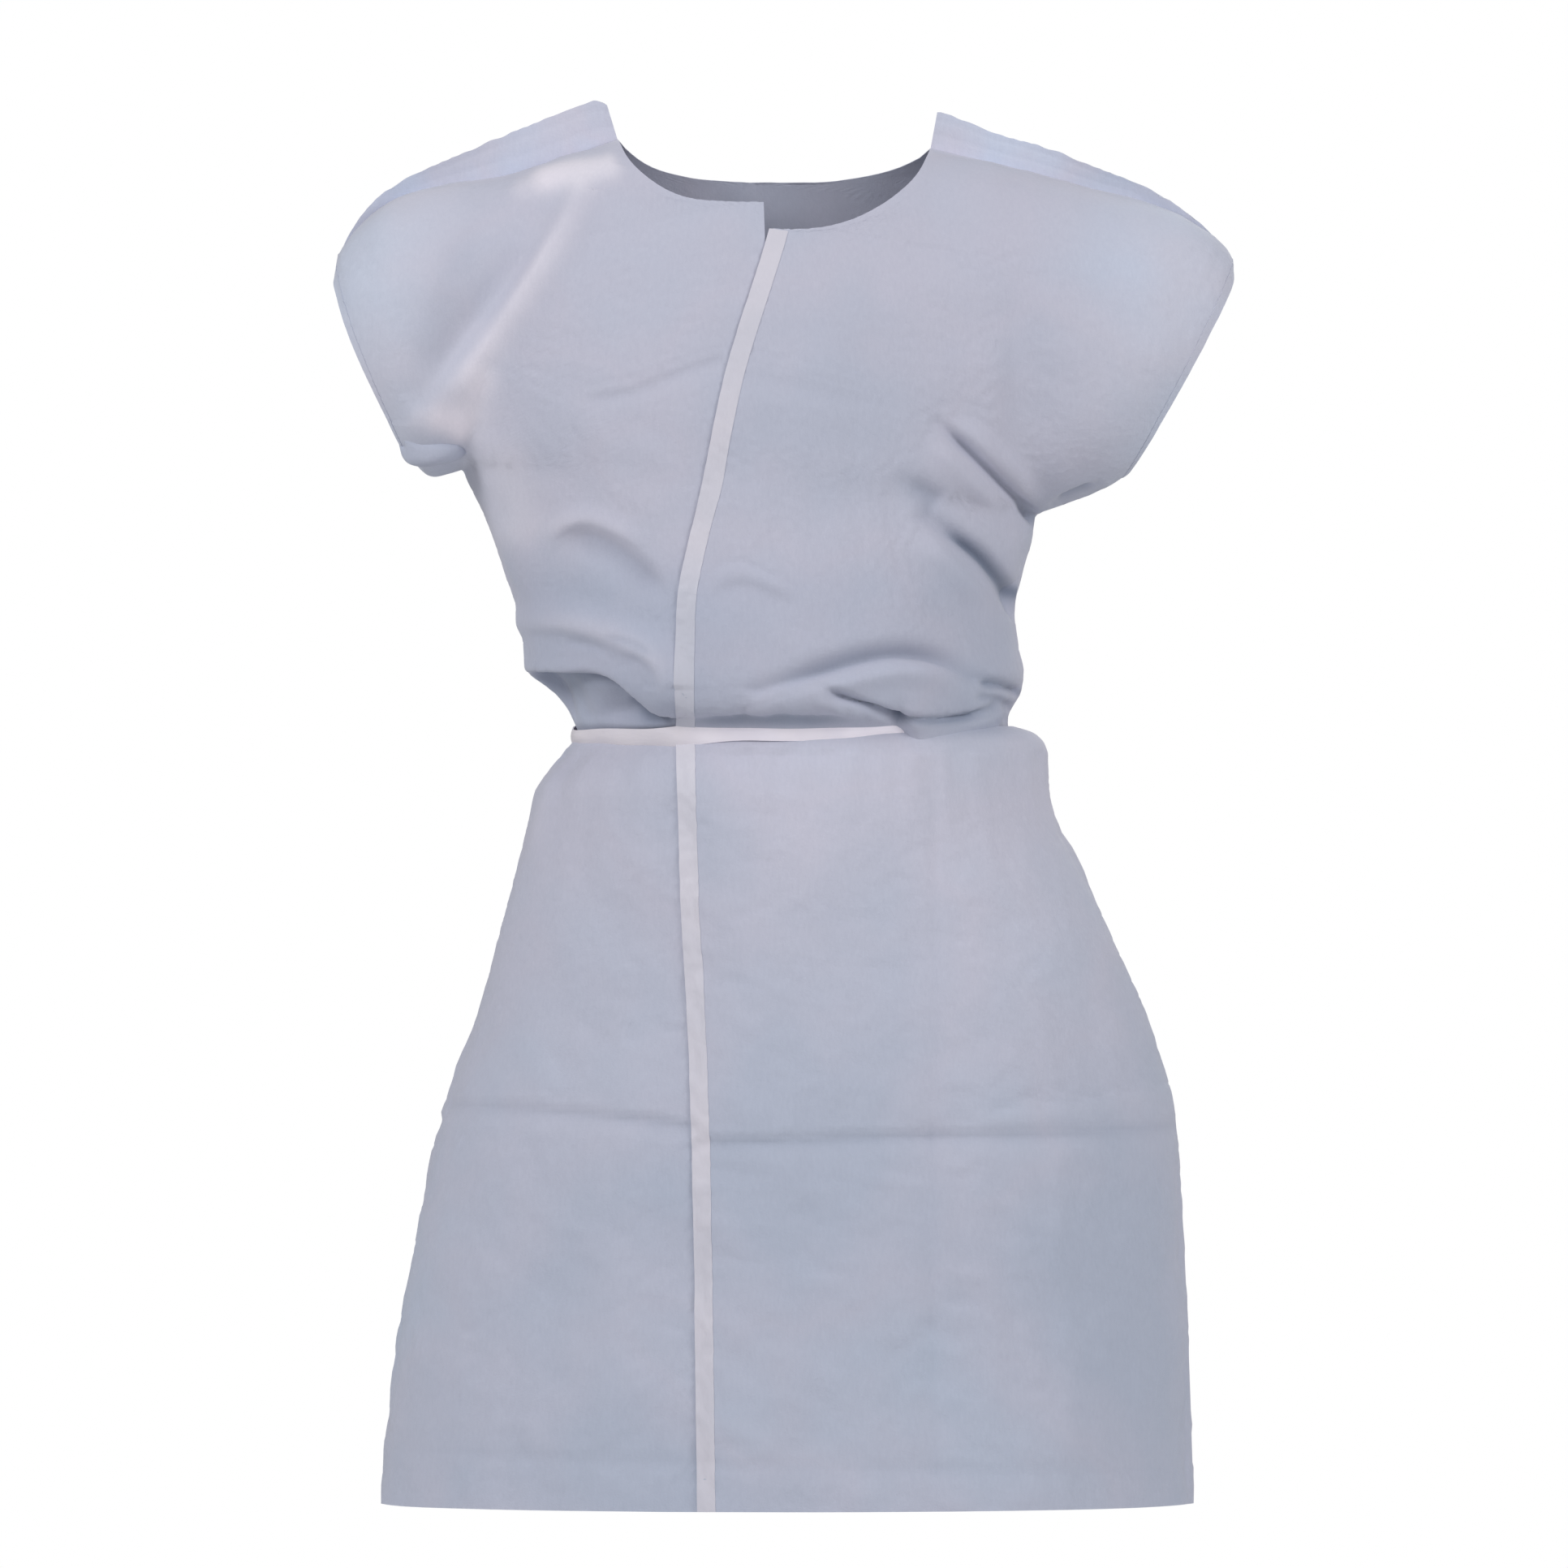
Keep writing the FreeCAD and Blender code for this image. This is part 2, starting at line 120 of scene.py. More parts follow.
# Free edges of the fronts, as (height, x)
FRONT_EDGE = {
    "left": ((-38, 2), (-57, -3), (-159, -34), (-240, -51), (-315, -67), (-360, -69), (-417, -69),
             (-530, -66), (-646, -60), (-762, -57), (-965, -54)),
    "right": ((-38, -7), (-120, -4), (-240, 0), (-417, 5), (-965, 30)),
}

# Bodice, from the armpit to the belt: height at the middle, height and x of the side, and depth
BODICE_HEIGHT = (-238, -270, -305, -338, -362, -384, -398, -406, -410, -414)
BODICE_SIDE = {
    "right": ((-226, -222), (-262, -205), (-299, -192), (-333, -181), (-358, -177), (-371, -175),
              (-379, -165), (-386, -156), (-397, -147), (-414, -139)),
    "left": ((-258, 187), (-276, 184), (-300, 177), (-326, 172), (-350, 174), (-372, 178),
             (-386, 176), (-396, 170), (-404, 167), (-414, 168)),
}
BODICE_DEPTH = {
    FRONT: (110, 114, 120, 126, 130, 132, 129, 121, 112, 106),
    BACK: (107, 108, 109, 111, 113, 114, 112, 107, 101, 97),
}

# Skirt: height, right side, left side, front depth, back depth
SKIRT = ((-410, -139, 171, 104, 96), (-413.5, -140, 183, 105, 97),
         (-419, -142, 191, 107, 98.5), (-427, -148, 195, 110, 101),
         (-440, -159, 195, 114, 105), (-455, -169, 196, 117, 107), (-475, -174, 201, 119, 109),
         (-500, -180, 213, 121, 111), (-565, -197, 243, 125, 116), (-620, -212, 267, 129, 121),
         (-680, -233, 285, 134, 126), (-745, -249, 291, 138, 130), (-820, -262, 295, 142, 134),
         (-871, -269, 297, 145, 137), (-965, -280, 300, 150, 142))


# Curves and tables

def spline(points, share):
    """Points on a smooth curve through others, at shares of its length from 0 to 1."""
    points = np.asarray(points, float)
    steps = np.linalg.norm(np.diff(points, axis=0), axis=1)
    knots = np.concatenate([[0.0], np.cumsum(steps)]) / steps.sum()
    return hermite(knots, points, np.clip(np.asarray(share, float), 0.0, 1.0))


def table(rows, key):
    """The other columns of a table, smoothly, where its first column is key."""
    rows = np.asarray(rows, float)
    if rows[0, 0] > rows[-1, 0]:
        rows = rows[::-1]
    key = np.clip(np.asarray(key, float), rows[0, 0], rows[-1, 0])
    return hermite(rows[:, 0], rows[:, 1:], key)


def hermite(knots, values, at):
    """A cubic curve through values at knots."""
    slopes = np.gradient(values, knots, axis=0)
    cell = np.clip(np.searchsorted(knots, at, side="right") - 1, 0, len(knots) - 2)
    width = (knots[cell + 1] - knots[cell])[..., None]
    t = (at - knots[cell])[..., None] / width
    start = (2 * t ** 3 - 3 * t ** 2 + 1) * values[cell]
    start_slope = (t ** 3 - 2 * t ** 2 + t) * width * slopes[cell]
    end = (3 * t ** 2 - 2 * t ** 3) * values[cell + 1]
    end_slope = (t ** 3 - t ** 2) * width * slopes[cell + 1]
    return start + start_slope + end + end_slope


def smoothstep(low, high, value):
    t = np.clip((value - low) / (high - low), 0.0, 1.0)
    return t * t * (3 - 2 * t)


# Base form of the sheet

def armhole_point(side, share):
    """A point (x, z) of the armhole line, from the shoulder at 0 to the armpit at 1."""
    top, low = (np.array(point) * MM for point in ARMHOLE[side])
    return top + (low - top) * np.asarray(share)[..., None]


def middle_point(side, share):
    """Where the row through an armhole point crosses the middle of the body."""
    top_z = YOKE_TOP_Z[side] * MM
    low_z = ARMPIT_MIDDLE[1] * MM
    height = top_z + (low_z - top_z) * np.asarray(share)
    return np.stack([np.full_like(height, ARMPIT_MIDDLE[0] * MM), height], axis=-1)


HALVINGS = 30


def yoke_share(side, x, z):
    """Which row of the yoke, from 0 at the shoulder to 1 at the armpit, passes through (x, z)."""
    low = np.full_like(x, -0.2)
    high = np.full_like(x, 1.2)
    for _ in range(HALVINGS):
        share = (low + high) / 2
        middle = middle_point(side, share)
        outer = armhole_point(side, share)
        slope = (outer[..., 1] - middle[..., 1]) / (outer[..., 0] - middle[..., 0])
        row_z = middle[..., 1] + (x - middle[..., 0]) * slope
        above = row_z > z
        low = np.where(above, share, low)
        high = np.where(above, high, share)
    return np.clip((low + high) / 2, 0.0, 1.0)


def yoke_depth(facing, share):
    """Depth of the yoke at the middle of the body and at the armhole line."""
    full = CHEST_DEPTH[facing] * MM
    ends = ARMHOLE_DEPTH * MM * np.maximum(0.0, 1 - (1 - 2 * share) ** 2) ** (FLATNESS / 2)
    depth = SEAM_GAP + (full - SEAM_GAP) * np.sin(math.pi / 2 * share ** CHEST_RISE)
    return np.maximum(depth, LEAST_DEPTH * ends), ends


def yoke_surface(facing, x, z):
    """The y of the chest or back above the armpit line, the two sides run into one another."""
    share = smoothstep(*MIDDLE_BLEND, x)
    right = one_side_surface("right", facing, x, z)
    return (1 - share) * right + share * one_side_surface("left", facing, x, z)


def one_side_surface(side, facing, x, z):
    """The y of the chest or back, drawn from one side's armhole."""
    share = yoke_share(side, x, z)
    middle = middle_point(side, share)
    outer = armhole_point(side, share)
    reach = np.linalg.norm(outer - middle, axis=-1)
    depth, ends = yoke_depth(facing, share)
    half = reach / np.sqrt(1 - (ends / depth) ** 2)
    along = np.hypot(x - middle[..., 0], z - middle[..., 1])
    return facing * depth * np.sqrt(np.maximum(0.0, 1 - (along / half) ** 2))


def row_starts(side, facing, turns, corner_turn):
    """Where each yoke row starts: along the neckline, then down the front edge."""
    neck = np.array(NECK[side, facing], float) * MM
    armpit_z = ARMPIT_MIDDLE[1] * MM
    starts = np.zeros((len(turns), 2))
    for row, turn in enumerate(turns):
        if turn <= corner_turn:
            starts[row] = spline(neck, turn / corner_turn)
            continue
        share = (turn - corner_turn) / (math.pi - corner_turn)
        height = neck[-1, 1] + (armpit_z - neck[-1, 1]) * share
        starts[row] = (edge_x(side, facing, height), height)
    return starts


def edge_x(side, facing, height):
    """The x of a panel's edge nearest the middle, at a height."""
    if facing == BACK:
        return np.full(np.shape(height), ARMPIT_MIDDLE[0] * MM)
    return table(FRONT_EDGE[side], np.asarray(height) / MM)[..., 0] * MM


def yoke_grid(side, facing, turns, columns, corner_turn):
    """Rows of points from the neckline and front edge out to the armhole line."""
    starts = row_starts(side, facing, turns, corner_turn)
    shares = (1 - np.cos(turns)) / 2
    outer = armhole_point(side, shares)
    depth, ends = yoke_depth(facing, shares)
    reach = np.linalg.norm(outer - middle_point(side, shares), axis=-1)
    half = reach / np.sqrt(1 - (ends / depth) ** 2)
    fractions = spread(outer, starts, half, reach, columns)
    flat = starts[:, None] + (outer - starts)[:, None] * fractions[..., None]
    depth_y = yoke_surface(facing, flat[..., 0], flat[..., 1])
    return np.stack([flat[..., 0], depth_y, flat[..., 1]], axis=-1)


def spread(outer, starts, half, reach, columns):
    """Shares of each row at which its points lie: even steps along the tape, then even turns."""
    lengths = np.linalg.norm(outer - starts, axis=-1)
    first = np.clip((reach - lengths) / half, -1, 1)
    last = np.clip(reach / half, -1, 1)
    turns = np.linspace(0, 1, columns + 1)[None]
    angle = np.arcsin(first)[:, None] + (np.arcsin(last) - np.arcsin(first))[:, None] * turns
    even = (np.sin(angle) - first[:, None]) / (last - first)[:, None]
    return with_tape_columns(even, lengths)


def with_tape_columns(shares, lengths):
    """Moves the first columns so that they follow the edge at the tape's width."""
    tape = TAPE_WIDTH / np.maximum(lengths, TAPE_WIDTH * 3)
    start = shares[:, TAPE_COLUMNS]
    moved = shares.copy()
    step = np.linspace(0, 1, TAPE_COLUMNS + 1)[None]
    moved[:, :TAPE_COLUMNS + 1] = tape[:, None] * step
    rest = (shares[:, TAPE_COLUMNS:] - start[:, None]) / (1 - start)[:, None]
    moved[:, TAPE_COLUMNS:] = tape[:, None] + (1 - tape)[:, None] * rest
    return moved


def sleeve_grid(side, facing, turns, columns):
    """Rows of points from the armhole line out to the sleeve's edge."""
    out = np.linspace(0, 1, columns + 1)[1:]
    tops = spline(np.array(SLEEVE_TOP[side], float) * MM, out)
    unders = spline(np.array(SLEEVE_UNDER[side], float) * MM, out)
    half_depth = table(SLEEVE_HALF_DEPTH, out)[..., 0] * MM
    share = ((1 - np.cos(turns)) / 2)[:, None, None]
    flat = tops[None] + (unders - tops)[None] * share
    bulge = SLEEVE_EDGE_BULGE * MM * np.sin(turns)[:, None] * smoothstep(0.5, 1.0, out)[None]
    x = flat[..., 0] + SIGN[side] * bulge
    y = facing * half_depth[None] * np.maximum(0.0, np.sin(turns))[:, None] ** FLATNESS
    return np.stack([x, y, flat[..., 1]], axis=-1)


def relax_armhole(points, line_column, reach, rounds=60, pull=0.6):
    """Rounds the sheet where chest and sleeve meet, leaving the edges where they are."""
    columns = np.arange(points.shape[1])
    weight = np.exp(-((columns - line_column) / reach) ** 2)[None, 1:-1, None]
    for _ in range(rounds):
        across = (points[1:-1, :-2] + points[1:-1, 2:]) / 2
        down = (points[:-2, 1:-1] + points[2:, 1:-1]) / 2
        average = (across + down) / 2
        points[1:-1, 1:-1] += pull * weight * (average - points[1:-1, 1:-1])
    return points


def bodice_grid(side, facing, steps, columns):
    """Rows of points below the armpit line, down to the belt."""
    share = np.linspace(0, 1, steps + 1)
    rows = np.column_stack([BODICE_HEIGHT, BODICE_SIDE[side], BODICE_DEPTH[facing]])
    profile = spline(rows * MM, share)
    middle_z, side_z, side_x, depth = profile.T
    edge = edge_x(side, facing, middle_z)
    middle_x = ARMPIT_MIDDLE[0] * MM * (1 - share) + waist_middle() * share
    return arc_rows(middle_x, middle_z, side_x, side_z, depth, facing, edge, columns)


def waist_middle():
    low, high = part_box("waist_belt")
    return (low[0] + high[0]) / 2


def arc_rows(middle_x, middle_z, side_x, side_z, depth, facing, edge, columns):
    """Rows of elliptical arcs from the edge near the middle out to the side."""
    half = side_x - middle_x
    first = np.arcsin(np.clip((edge - middle_x) / half, -1, 1))
    turns = np.linspace(0, 1, columns + 1)[None]
    angle = first[:, None] + (math.pi / 2 - first)[:, None] * turns
    shares = (np.sin(angle) - np.sin(first)[:, None]) / (1 - np.sin(first))[:, None]
    shares = with_tape_columns(shares, np.abs(side_x - edge))
    sine = np.sin(first)[:, None] + (1 - np.sin(first))[:, None] * shares
    x = middle_x[:, None] + half[:, None] * sine
    y = facing * depth[:, None] * np.sqrt(np.maximum(0.0, 1 - sine ** 2))
    straight = (sine - sine[:, :1]) / (1 - sine[:, :1])
    level = smoothstep(0.0, 0.35, np.linspace(0, 1, len(middle_z)))[:, None]
    z = middle_z[:, None] + (side_z - middle_z)[:, None] * (
        straight + (sine ** 2 - straight) * level)
    return np.stack([x, y, z], axis=-1)


ROW_GROWTH = 1.25          # above 1 the rows lie closer together near the belt


def skirt_grid(side, facing, steps, columns):
    """Rows of points from the belt to the hem."""
    share = np.linspace(0, 1, steps + 1) ** ROW_GROWTH
    heights = SKIRT[0][0] + (HEM_Z / MM - SKIRT[0][0]) * share
    right, left, front, back = (table(SKIRT, heights) * MM).T
    side_x = right if side == "right" else left
    depth = front if facing == FRONT else back
    heights = heights * MM
    edge = edge_x(side, facing, heights)
    middle_x = (right + left) / 2
    if facing == BACK:
        edge = middle_x
    return arc_rows(middle_x, heights, side_x, heights, depth, facing, edge, columns)


# Meshes

def quads(index):
    """Four-cornered faces of a grid of vertex numbers."""
    return np.stack([index[:-1, :-1], index[:-1, 1:], index[1:, 1:], index[1:, :-1]],
                    axis=-1).reshape(-1, 4)


def new_mesh(name, points, faces):
    """A mesh object with smooth faces."""
    mesh = bpy.data.meshes.new(name)
    mesh.from_pydata(np.asarray(points).reshape(-1, 3).tolist(), [], faces.tolist())
    mesh.shade_smooth()
    mesh.update()
    piece = bpy.data.objects.new(name, mesh)
    bpy.context.scene.collection.objects.link(piece)
    return piece


def grid_index(shape):
    """The vertex numbers of a grid of points."""
    rows, columns = shape[:2]
    return np.arange(rows * columns).reshape(rows, columns)


def grid_piece(name, grid, material, facing=None, closed=False):
    """A piece over a grid of points, which may close on itself."""
    index = grid_index(grid.shape)
    if closed:
        index = np.concatenate([index, index[:, :1]], axis=1)
    piece = new_mesh(name, grid, quads(index))
    if facing is not None:
        face_away(piece, (0, facing, 0))
    piece.data.materials.append(material)
    return piece


def upper_panel(side, facing, fine):
    """Points and faces of one front or back above the belt, sleeve and all."""
    turn_rows, yoke_columns, sleeve_columns, bodice_rows = fine
    turns = np.linspace(0, math.pi, turn_rows + 1)
    corner = turns[round(NECK_ROWS[facing] * turn_rows)]
    yoke = yoke_grid(side, facing, turns, yoke_columns, corner)
    sleeve = sleeve_grid(side, facing, turns, sleeve_columns)
    top = relax_armhole(np.concatenate([yoke, sleeve], axis=1), yoke_columns, yoke_columns / 8)
    low = bodice_grid(side, facing, bodice_rows, yoke_columns)
    low[0] = top[-1, :yoke_columns + 1]
    return top, low


def panel_index(top_shape, low_shape):
    """Vertex numbers of the yoke-and-sleeve grid and of the bodice grid, which share a row."""
    top = grid_index(top_shape)
    rows, columns = low_shape[:2]
    low = top.size + grid_index((rows - 1, columns))
    return top, np.concatenate([top[-1:, :columns], low])


def join_panel(top, low):
    """One list of points and faces from the yoke-and-sleeve grid and the bodice grid."""
    points = np.concatenate([top.reshape(-1, 3), low[1:].reshape(-1, 3)])
    faces = np.concatenate([quads(index) for index in panel_index(top.shape, low.shape)])
    return points, faces


def thicken(piece, thickness=SHEET_THICKNESS):
    """Gives a sheet its two faces."""
    solid = piece.modifiers.new("thickness", "SOLIDIFY")
    solid.thickness = thickness
    solid.offset = 0.0
    apply_modifiers(piece)


def apply_modifiers(piece):
    """Puts what a piece's modifiers make of it in place of its mesh."""
    depsgraph = bpy.context.evaluated_depsgraph_get()
    mesh = bpy.data.meshes.new_from_object(piece.evaluated_get(depsgraph))
    piece.modifiers.clear()
    old = piece.data
    piece.data = mesh
    bpy.data.meshes.remove(old)
    mesh.shade_smooth()
    mesh.set_sharp_from_angle(angle=RIM_ANGLE)


# Folds, drawn in the front view as paths of (x, z) in millimetres

class Fold:
    """A raised or sunk line on the sheet.

    height is out from the sheet, above and below are how far it fades to each side of the path,
    ends are the shares of the height left at the two ends, and tone is how much painted shade the
    sheet gets in the fold, or painted highlight on its ridge.
    """

    def __init__(self, path, height, above, below=None, ends=(0.0, 0.0), tone=0.7):
        self.path = spline(np.array(path, float), np.linspace(0, 1, 40)) * MM
        self.height = height * MM
        self.above = above * MM
        self.below = (above if below is None else below) * MM
        self.ends = ends
        self.tone = tone

    def lift(self, flat):
        """How far each (x, z) point is moved out from the sheet."""
        starts = self.path[:-1]
        steps = np.diff(self.path, axis=0)
        length = np.linalg.norm(steps, axis=1)
        out = np.zeros(len(flat))
        reach = 3 * max(self.above, self.below)
        low = self.path.min(0) - reach
        high = self.path.max(0) + reach
        near = np.all((flat > low) & (flat < high), axis=1)
        points = flat[near]
        if not len(points):
            return out
        offset = points[:, None] - starts[None]
        along = np.clip((offset * steps).sum(-1) / length ** 2, 0, 1)
        gap = offset - along[..., None] * steps
        distance = np.linalg.norm(gap, axis=-1)
        best = distance.argmin(1)
        row = np.arange(len(points))
        walk = (best + along[row, best]) / len(starts)
        upward = gap[row, best, 1] >= 0
        width = np.where(upward, self.above, self.below)
        fade = np.exp(-(distance[row, best] / width) ** 2)
        rise = self.ends[0] + (1 - self.ends[0]) * smoothstep(0.0, 0.3, walk)
        fall = self.ends[1] + (1 - self.ends[1]) * smoothstep(1.0, 0.7, walk)
        out[near] = self.height * fade * rise * fall
        return out


CHEST_FOLDS = (
    # right shoulder: a swell under the seam, a soft ridge down to the hem, a hollow beside it
    # with painted highlight on the swell and the ridges and painted shade in the hollows
    Fold(((-178, -27), (-152, -19), (-118, -12)), 5, 10, 13, (0.5, 0.9), 1.7),
    Fold(((-136, -30), (-147, -52), (-165, -82), (-184, -111), (-206, -142), (-231, -172),
          (-252, -193)), 6, 9, 15, (0.6, 0.3), 0.8),
    Fold(((-165, -46), (-183, -80), (-205, -112), (-228, -143), (-250, -175)), -5, 14, 9,
         (0.2, 0.3), 0.1),
    Fold(((-198, -150), (-211, -175), (-219, -200)), 2.5, 14, 14, (0.3, 0.5), 1.5),
    Fold(((-205, -44), (-225, -84), (-240, -120), (-246, -150), (-254, -174)), -0.6, 18, 20,
         (0.3, 0.5), 3.6),
    # painted light: the sheet is painted as pale above the cuff and beside the underarm as on the chest
    # where its shape would turn it into shade
    Fold(((-250, -188), (-230, -194), (-212, -203)), 1.2, 12, 12, (0.5, 0.2), 4.4),
    Fold(((-204, -196), (-194, -226), (-184, -262), (-176, -300)), 0.8, 30, 30, (0.5, 0.0), 5.2),
    # faint chest creases
    Fold(((-143, -182), (-99, -173), (-66, -160), (-39, -151)), -1.6, 4, 7, (0.0, 0.8)),
    Fold(((-33, -160), (10, -169), (74, -184)), -1.0, 6, 10),
    Fold(((169, -70), (171, -130), (170, -193), (167, -240)), -1.4, 8, None, (0.0, 0.0), 0.5),
    # left armpit
    Fold(((117, -194), (138, -212), (153, -227), (172, -246), (188, -262)), -8.0, 3.6, 4.2,
         (0.25, 1.0), 0.42),
    Fold(((126, -190), (150, -209), (168, -226), (186, -244)), 2.5, 7, 6, (0.0, 0.3), 0.2),
    Fold(((106, -205), (128, -224), (146, -242), (166, -262)), 3, 6, 8, (0.0, 0.3), 0.2),
    Fold(((95, -238), (108, -245), (122, -255)), -5, 9, 9, (0.6, 0.3), 0.6),
    Fold(((110, -260), (127, -272), (145, -286), (161, -303), (175, -324)), -8, 6.5, 7.0,
         (0.6, 1.0), 0.36),
    Fold(((122, -268), (141, -281), (157, -295), (170, -309), (181, -327)), -3.5, 4.0, 3.4,
         (0.0, 1.0), 1.5),
    Fold(((102, -272), (122, -292), (140, -311), (155, -331)), 4, 6, 10, (0.0, 0.3), 0.2),
    Fold(((200, -251), (214, -244), (231, -237)), -6, 3, 3, (0.3, 0.3), 0.7),
)

WAIST_FOLDS = (
    # right side: a soft arc, then a roll that hangs over the belt
    Fold(((-164, -280), (-148, -268), (-135, -264), (-116, -270), (-90, -286)), 3.0, 9, 4),
    Fold(((-160, -291), (-135, -276), (-112, -284), (-88, -304), (-74, -327)), -5.0, 6, 16,
         (0.0, 0.0), 0.6),
    Fold(((-178, -336), (-140, -339), (-106, -351), (-88, -361), (-78, -376), (-78, -400)),
         7.0, 13, 7, (0.5, 0.3), 0.45),
    Fold(((-182, -376), (-150, -377), (-130, -376), (-115, -382), (-102, -393), (-88, -405)),
         -13.0, 3.5, 19, (0.8, 0.7), 0.34),
    Fold(((-102, -399), (-92, -404), (-76, -406)), -5.0, 3, 3, (0.5, 0.8), 0.8),
    Fold(((-150, -350), (-130, -352), (-112, -359)), -1.3, 2.5, 4, (0.0, 0.0), 0.9),
    Fold(((-120, -346), (-98, -352), (-80, -363)), -1.6, 2.5, 3.5, (0.0, 0.0), 0.9),
    Fold(((-106, -360), (-91, -366), (-81, -378)), -1.6, 2.5, 3.5, (0.0, 0.0), 0.9),
    # middle
    Fold(((-50, -314), (-32, -301), (-2, -308), (20, -321)), 1.5, 4, 8),
    Fold(((-46, -322), (-25, -311), (0, -318), (18, -328)), -1.5, 4, 9),
    Fold(((-72, -406.5), (0, -407), (66, -407)), -4.5, 3.2, 3.5, (0.3, 0.3), 1.1),
    # left side: a lens-shaped roll, with a sharp fold across its lower edge
    Fold(((-12, -386), (12, -378), (38, -370), (66, -362), (92, -359), (118, -363), (144, -376)),
         -8.5, 8, 4, (0.4, 0.5), 0.45),
    Fold(((2, -394), (24, -388), (48, -381), (70, -375), (92, -372), (117, -375), (138, -386)),
         4.0, 4, 8, (0.2, 0.3), 0.15),
    Fold(((33, -382), (59, -393), (88, -405)), -8, 3.4, 3.4, (0.2, 1.0), 0.38),
    Fold(((28, -391), (54, -402)), 2.5, 4, 4, (0.0, 0.0), 0.3),
    Fold(((88, -406), (112, -407), (131, -406), (158, -398)), -8.0, 3.5, 3.5, (1.0, 0.6), 0.6),
    Fold(((144, -379), (164, -381), (180, -388)), -7.0, 5, 4, (0.0, 1.0), 0.65),
    Fold(((140, -390), (158, -391), (173, -398)), -4.0, 4, 4, (0.0, 0.8), 0.7),
)

SKIRT_FOLDS = (
    # creases left from packing
    Fold(((-240, -676), (-232, -677), (-147, -683), (-57, -692)), -2.2, 3, 9, (1.0, 1.0), 0.8),
    Fold(((-52, -704), (27, -702), (114, -699), (201, -698), (288, -693)), -2.4, 3, 9,
         (1.0, 1.0), 0.8),
    Fold(((122, -698), (160, -688), (207, -683), (290, -669)), 1.6, 5, 10, (0.0, 1.0)),
    Fold(((114, -430), (115, -600), (113, -800), (114, -966)), -1.3, 5, 5, (0.3, 1.0)),
    Fold(((-84, -430), (-82, -700), (-80, -966)), -0.7, 6, 6, (0.2, 1.0)),
    Fold(((-272, -925), (-100, -930), (100, -936), (296, -940)), -0.9, 6, 6, (1.0, 1.0)),
    # hips
    Fold(((-148, -430), (-163, -465), (-170, -512)), 2.5, 7, 7),
    Fold(((-140, -426), (-150, -445), (-156, -470)), -1.8, 4, 4),
    Fold(((185, -424), (193, -450), (205, -490)), 2.0, 8, 8),
)

BACK_FOLDS = (
    Fold(((-190, -240), (-160, -262), (-130, -290)), -5, 5, 5, (0.8, 0.0), 0.4),
    Fold(((-200, -228), (-165, -240), (-125, -262)), 4, 9, 9, (0.6, 0.0), 0.2),
    Fold(((176, -262), (150, -280), (120, -306)), -5, 5, 5, (0.8, 0.0), 0.4),
    Fold(((-150, -372), (-110, -352), (-70, -360), (-30, -384)), -6, 9, 4, (0.2, 0.2), 0.35),
    Fold(((-146, -384), (-108, -366), (-70, -373), (-36, -393)), 4, 5, 9, (0.2, 0.2), 0.2),
    Fold(((40, -386), (80, -360), (120, -362), (160, -378)), -6, 9, 4, (0.2, 0.2), 0.35),
    Fold(((44, -394), (82, -373), (120, -375), (150, -388)), 4, 5, 9, (0.2, 0.2), 0.2),
    # gathers that run up and down from the knot
    Fold(((8, -404), (-4, -370), (-30, -316)), -6, 5, 8, (0.8, 0.0), 0.5),
    Fold(((22, -404), (34, -366), (64, -308)), -6, 5, 8, (0.8, 0.0), 0.5),
    Fold(((-14, -404), (-44, -362), (-96, -326)), -5, 5, 8, (0.8, 0.0), 0.45),
    Fold(((44, -404), (74, -368), (118, -338)), -5, 5, 8, (0.8, 0.0), 0.45),
    Fold(((-160, -140), (-100, -150), (60, -148), (140, -150)), -1.6, 5, 8, (0.0, 0.0), 0.6),
    Fold(((6, -430), (-8, -500), (-30, -625)), -6, 8, 10, (0.9, 0.0), 0.4),
    Fold(((26, -430), (44, -520), (76, -640)), -6, 8, 10, (0.9, 0.0), 0.4),
    Fold(((-16, -430), (-46, -500), (-92, -590)), -5, 8, 10, (0.9, 0.0), 0.35),
    Fold(((48, -430), (86, -498), (134, -580)), -5, 8, 10, (0.9, 0.0), 0.35),
    # the slack across the shoulder blades
    Fold(((-170, -196), (-110, -232), (-50, -246), (0, -238)), -4.5, 9, 14, (0.2, 0.0), 0.35),
    Fold(((168, -210), (112, -248), (58, -262), (16, -256)), -4, 9, 14, (0.2, 0.0), 0.35),
    Fold(((-150, -150), (-100, -176), (-40, -186)), 2.5, 12, 14, (0.0, 0.0), 0.15),
    Fold(((-260, -692), (-100, -697), (100, -699), (290, -695)), -2.2, 3.5, 9, (1.0, 1.0)),
    Fold(((-120, -430), (-122, -700), (-124, -966)), -1.2, 5, 5, (0.2, 1.0)),
    Fold(((120, -430), (122, -700), (124, -966)), -1.2, 5, 5, (0.2, 1.0)),
)


def fold_lift(folds, points):
    """How far a set of folds moves each point out from the sheet, and its painted shade and highlight.
    """
    flat = points[:, [0, 2]]
    lift = np.zeros(len(points))
    tone = np.zeros(len(points))
    for fold in folds:
        part = fold.lift(flat)
        lift += part
        tone += part * fold.tone
    return lift, tone


CRUMPLES = ((150, 1.3, 10), (62, 0.55, 14), (27, 0.2, 16))       # wavelength, height, how many
CRUMPLE_SEED = 5


def crumple(points, seed):
    """Small soft unevenness, the same wherever two panels share a place."""
    random = np.random.default_rng(seed)
    lift = np.zeros(len(points))
    for wavelength, height, count in CRUMPLES:
        for _ in range(count):
            direction = random.normal(size=3) * (1.0, 0.6, 0.7)
            direction *= 2 * math.pi / (wavelength * MM) / np.linalg.norm(direction)
            phase = random.uniform(0, 2 * math.pi)
            lift += height * MM / math.sqrt(count) * np.sin(points @ direction + phase)
    return lift


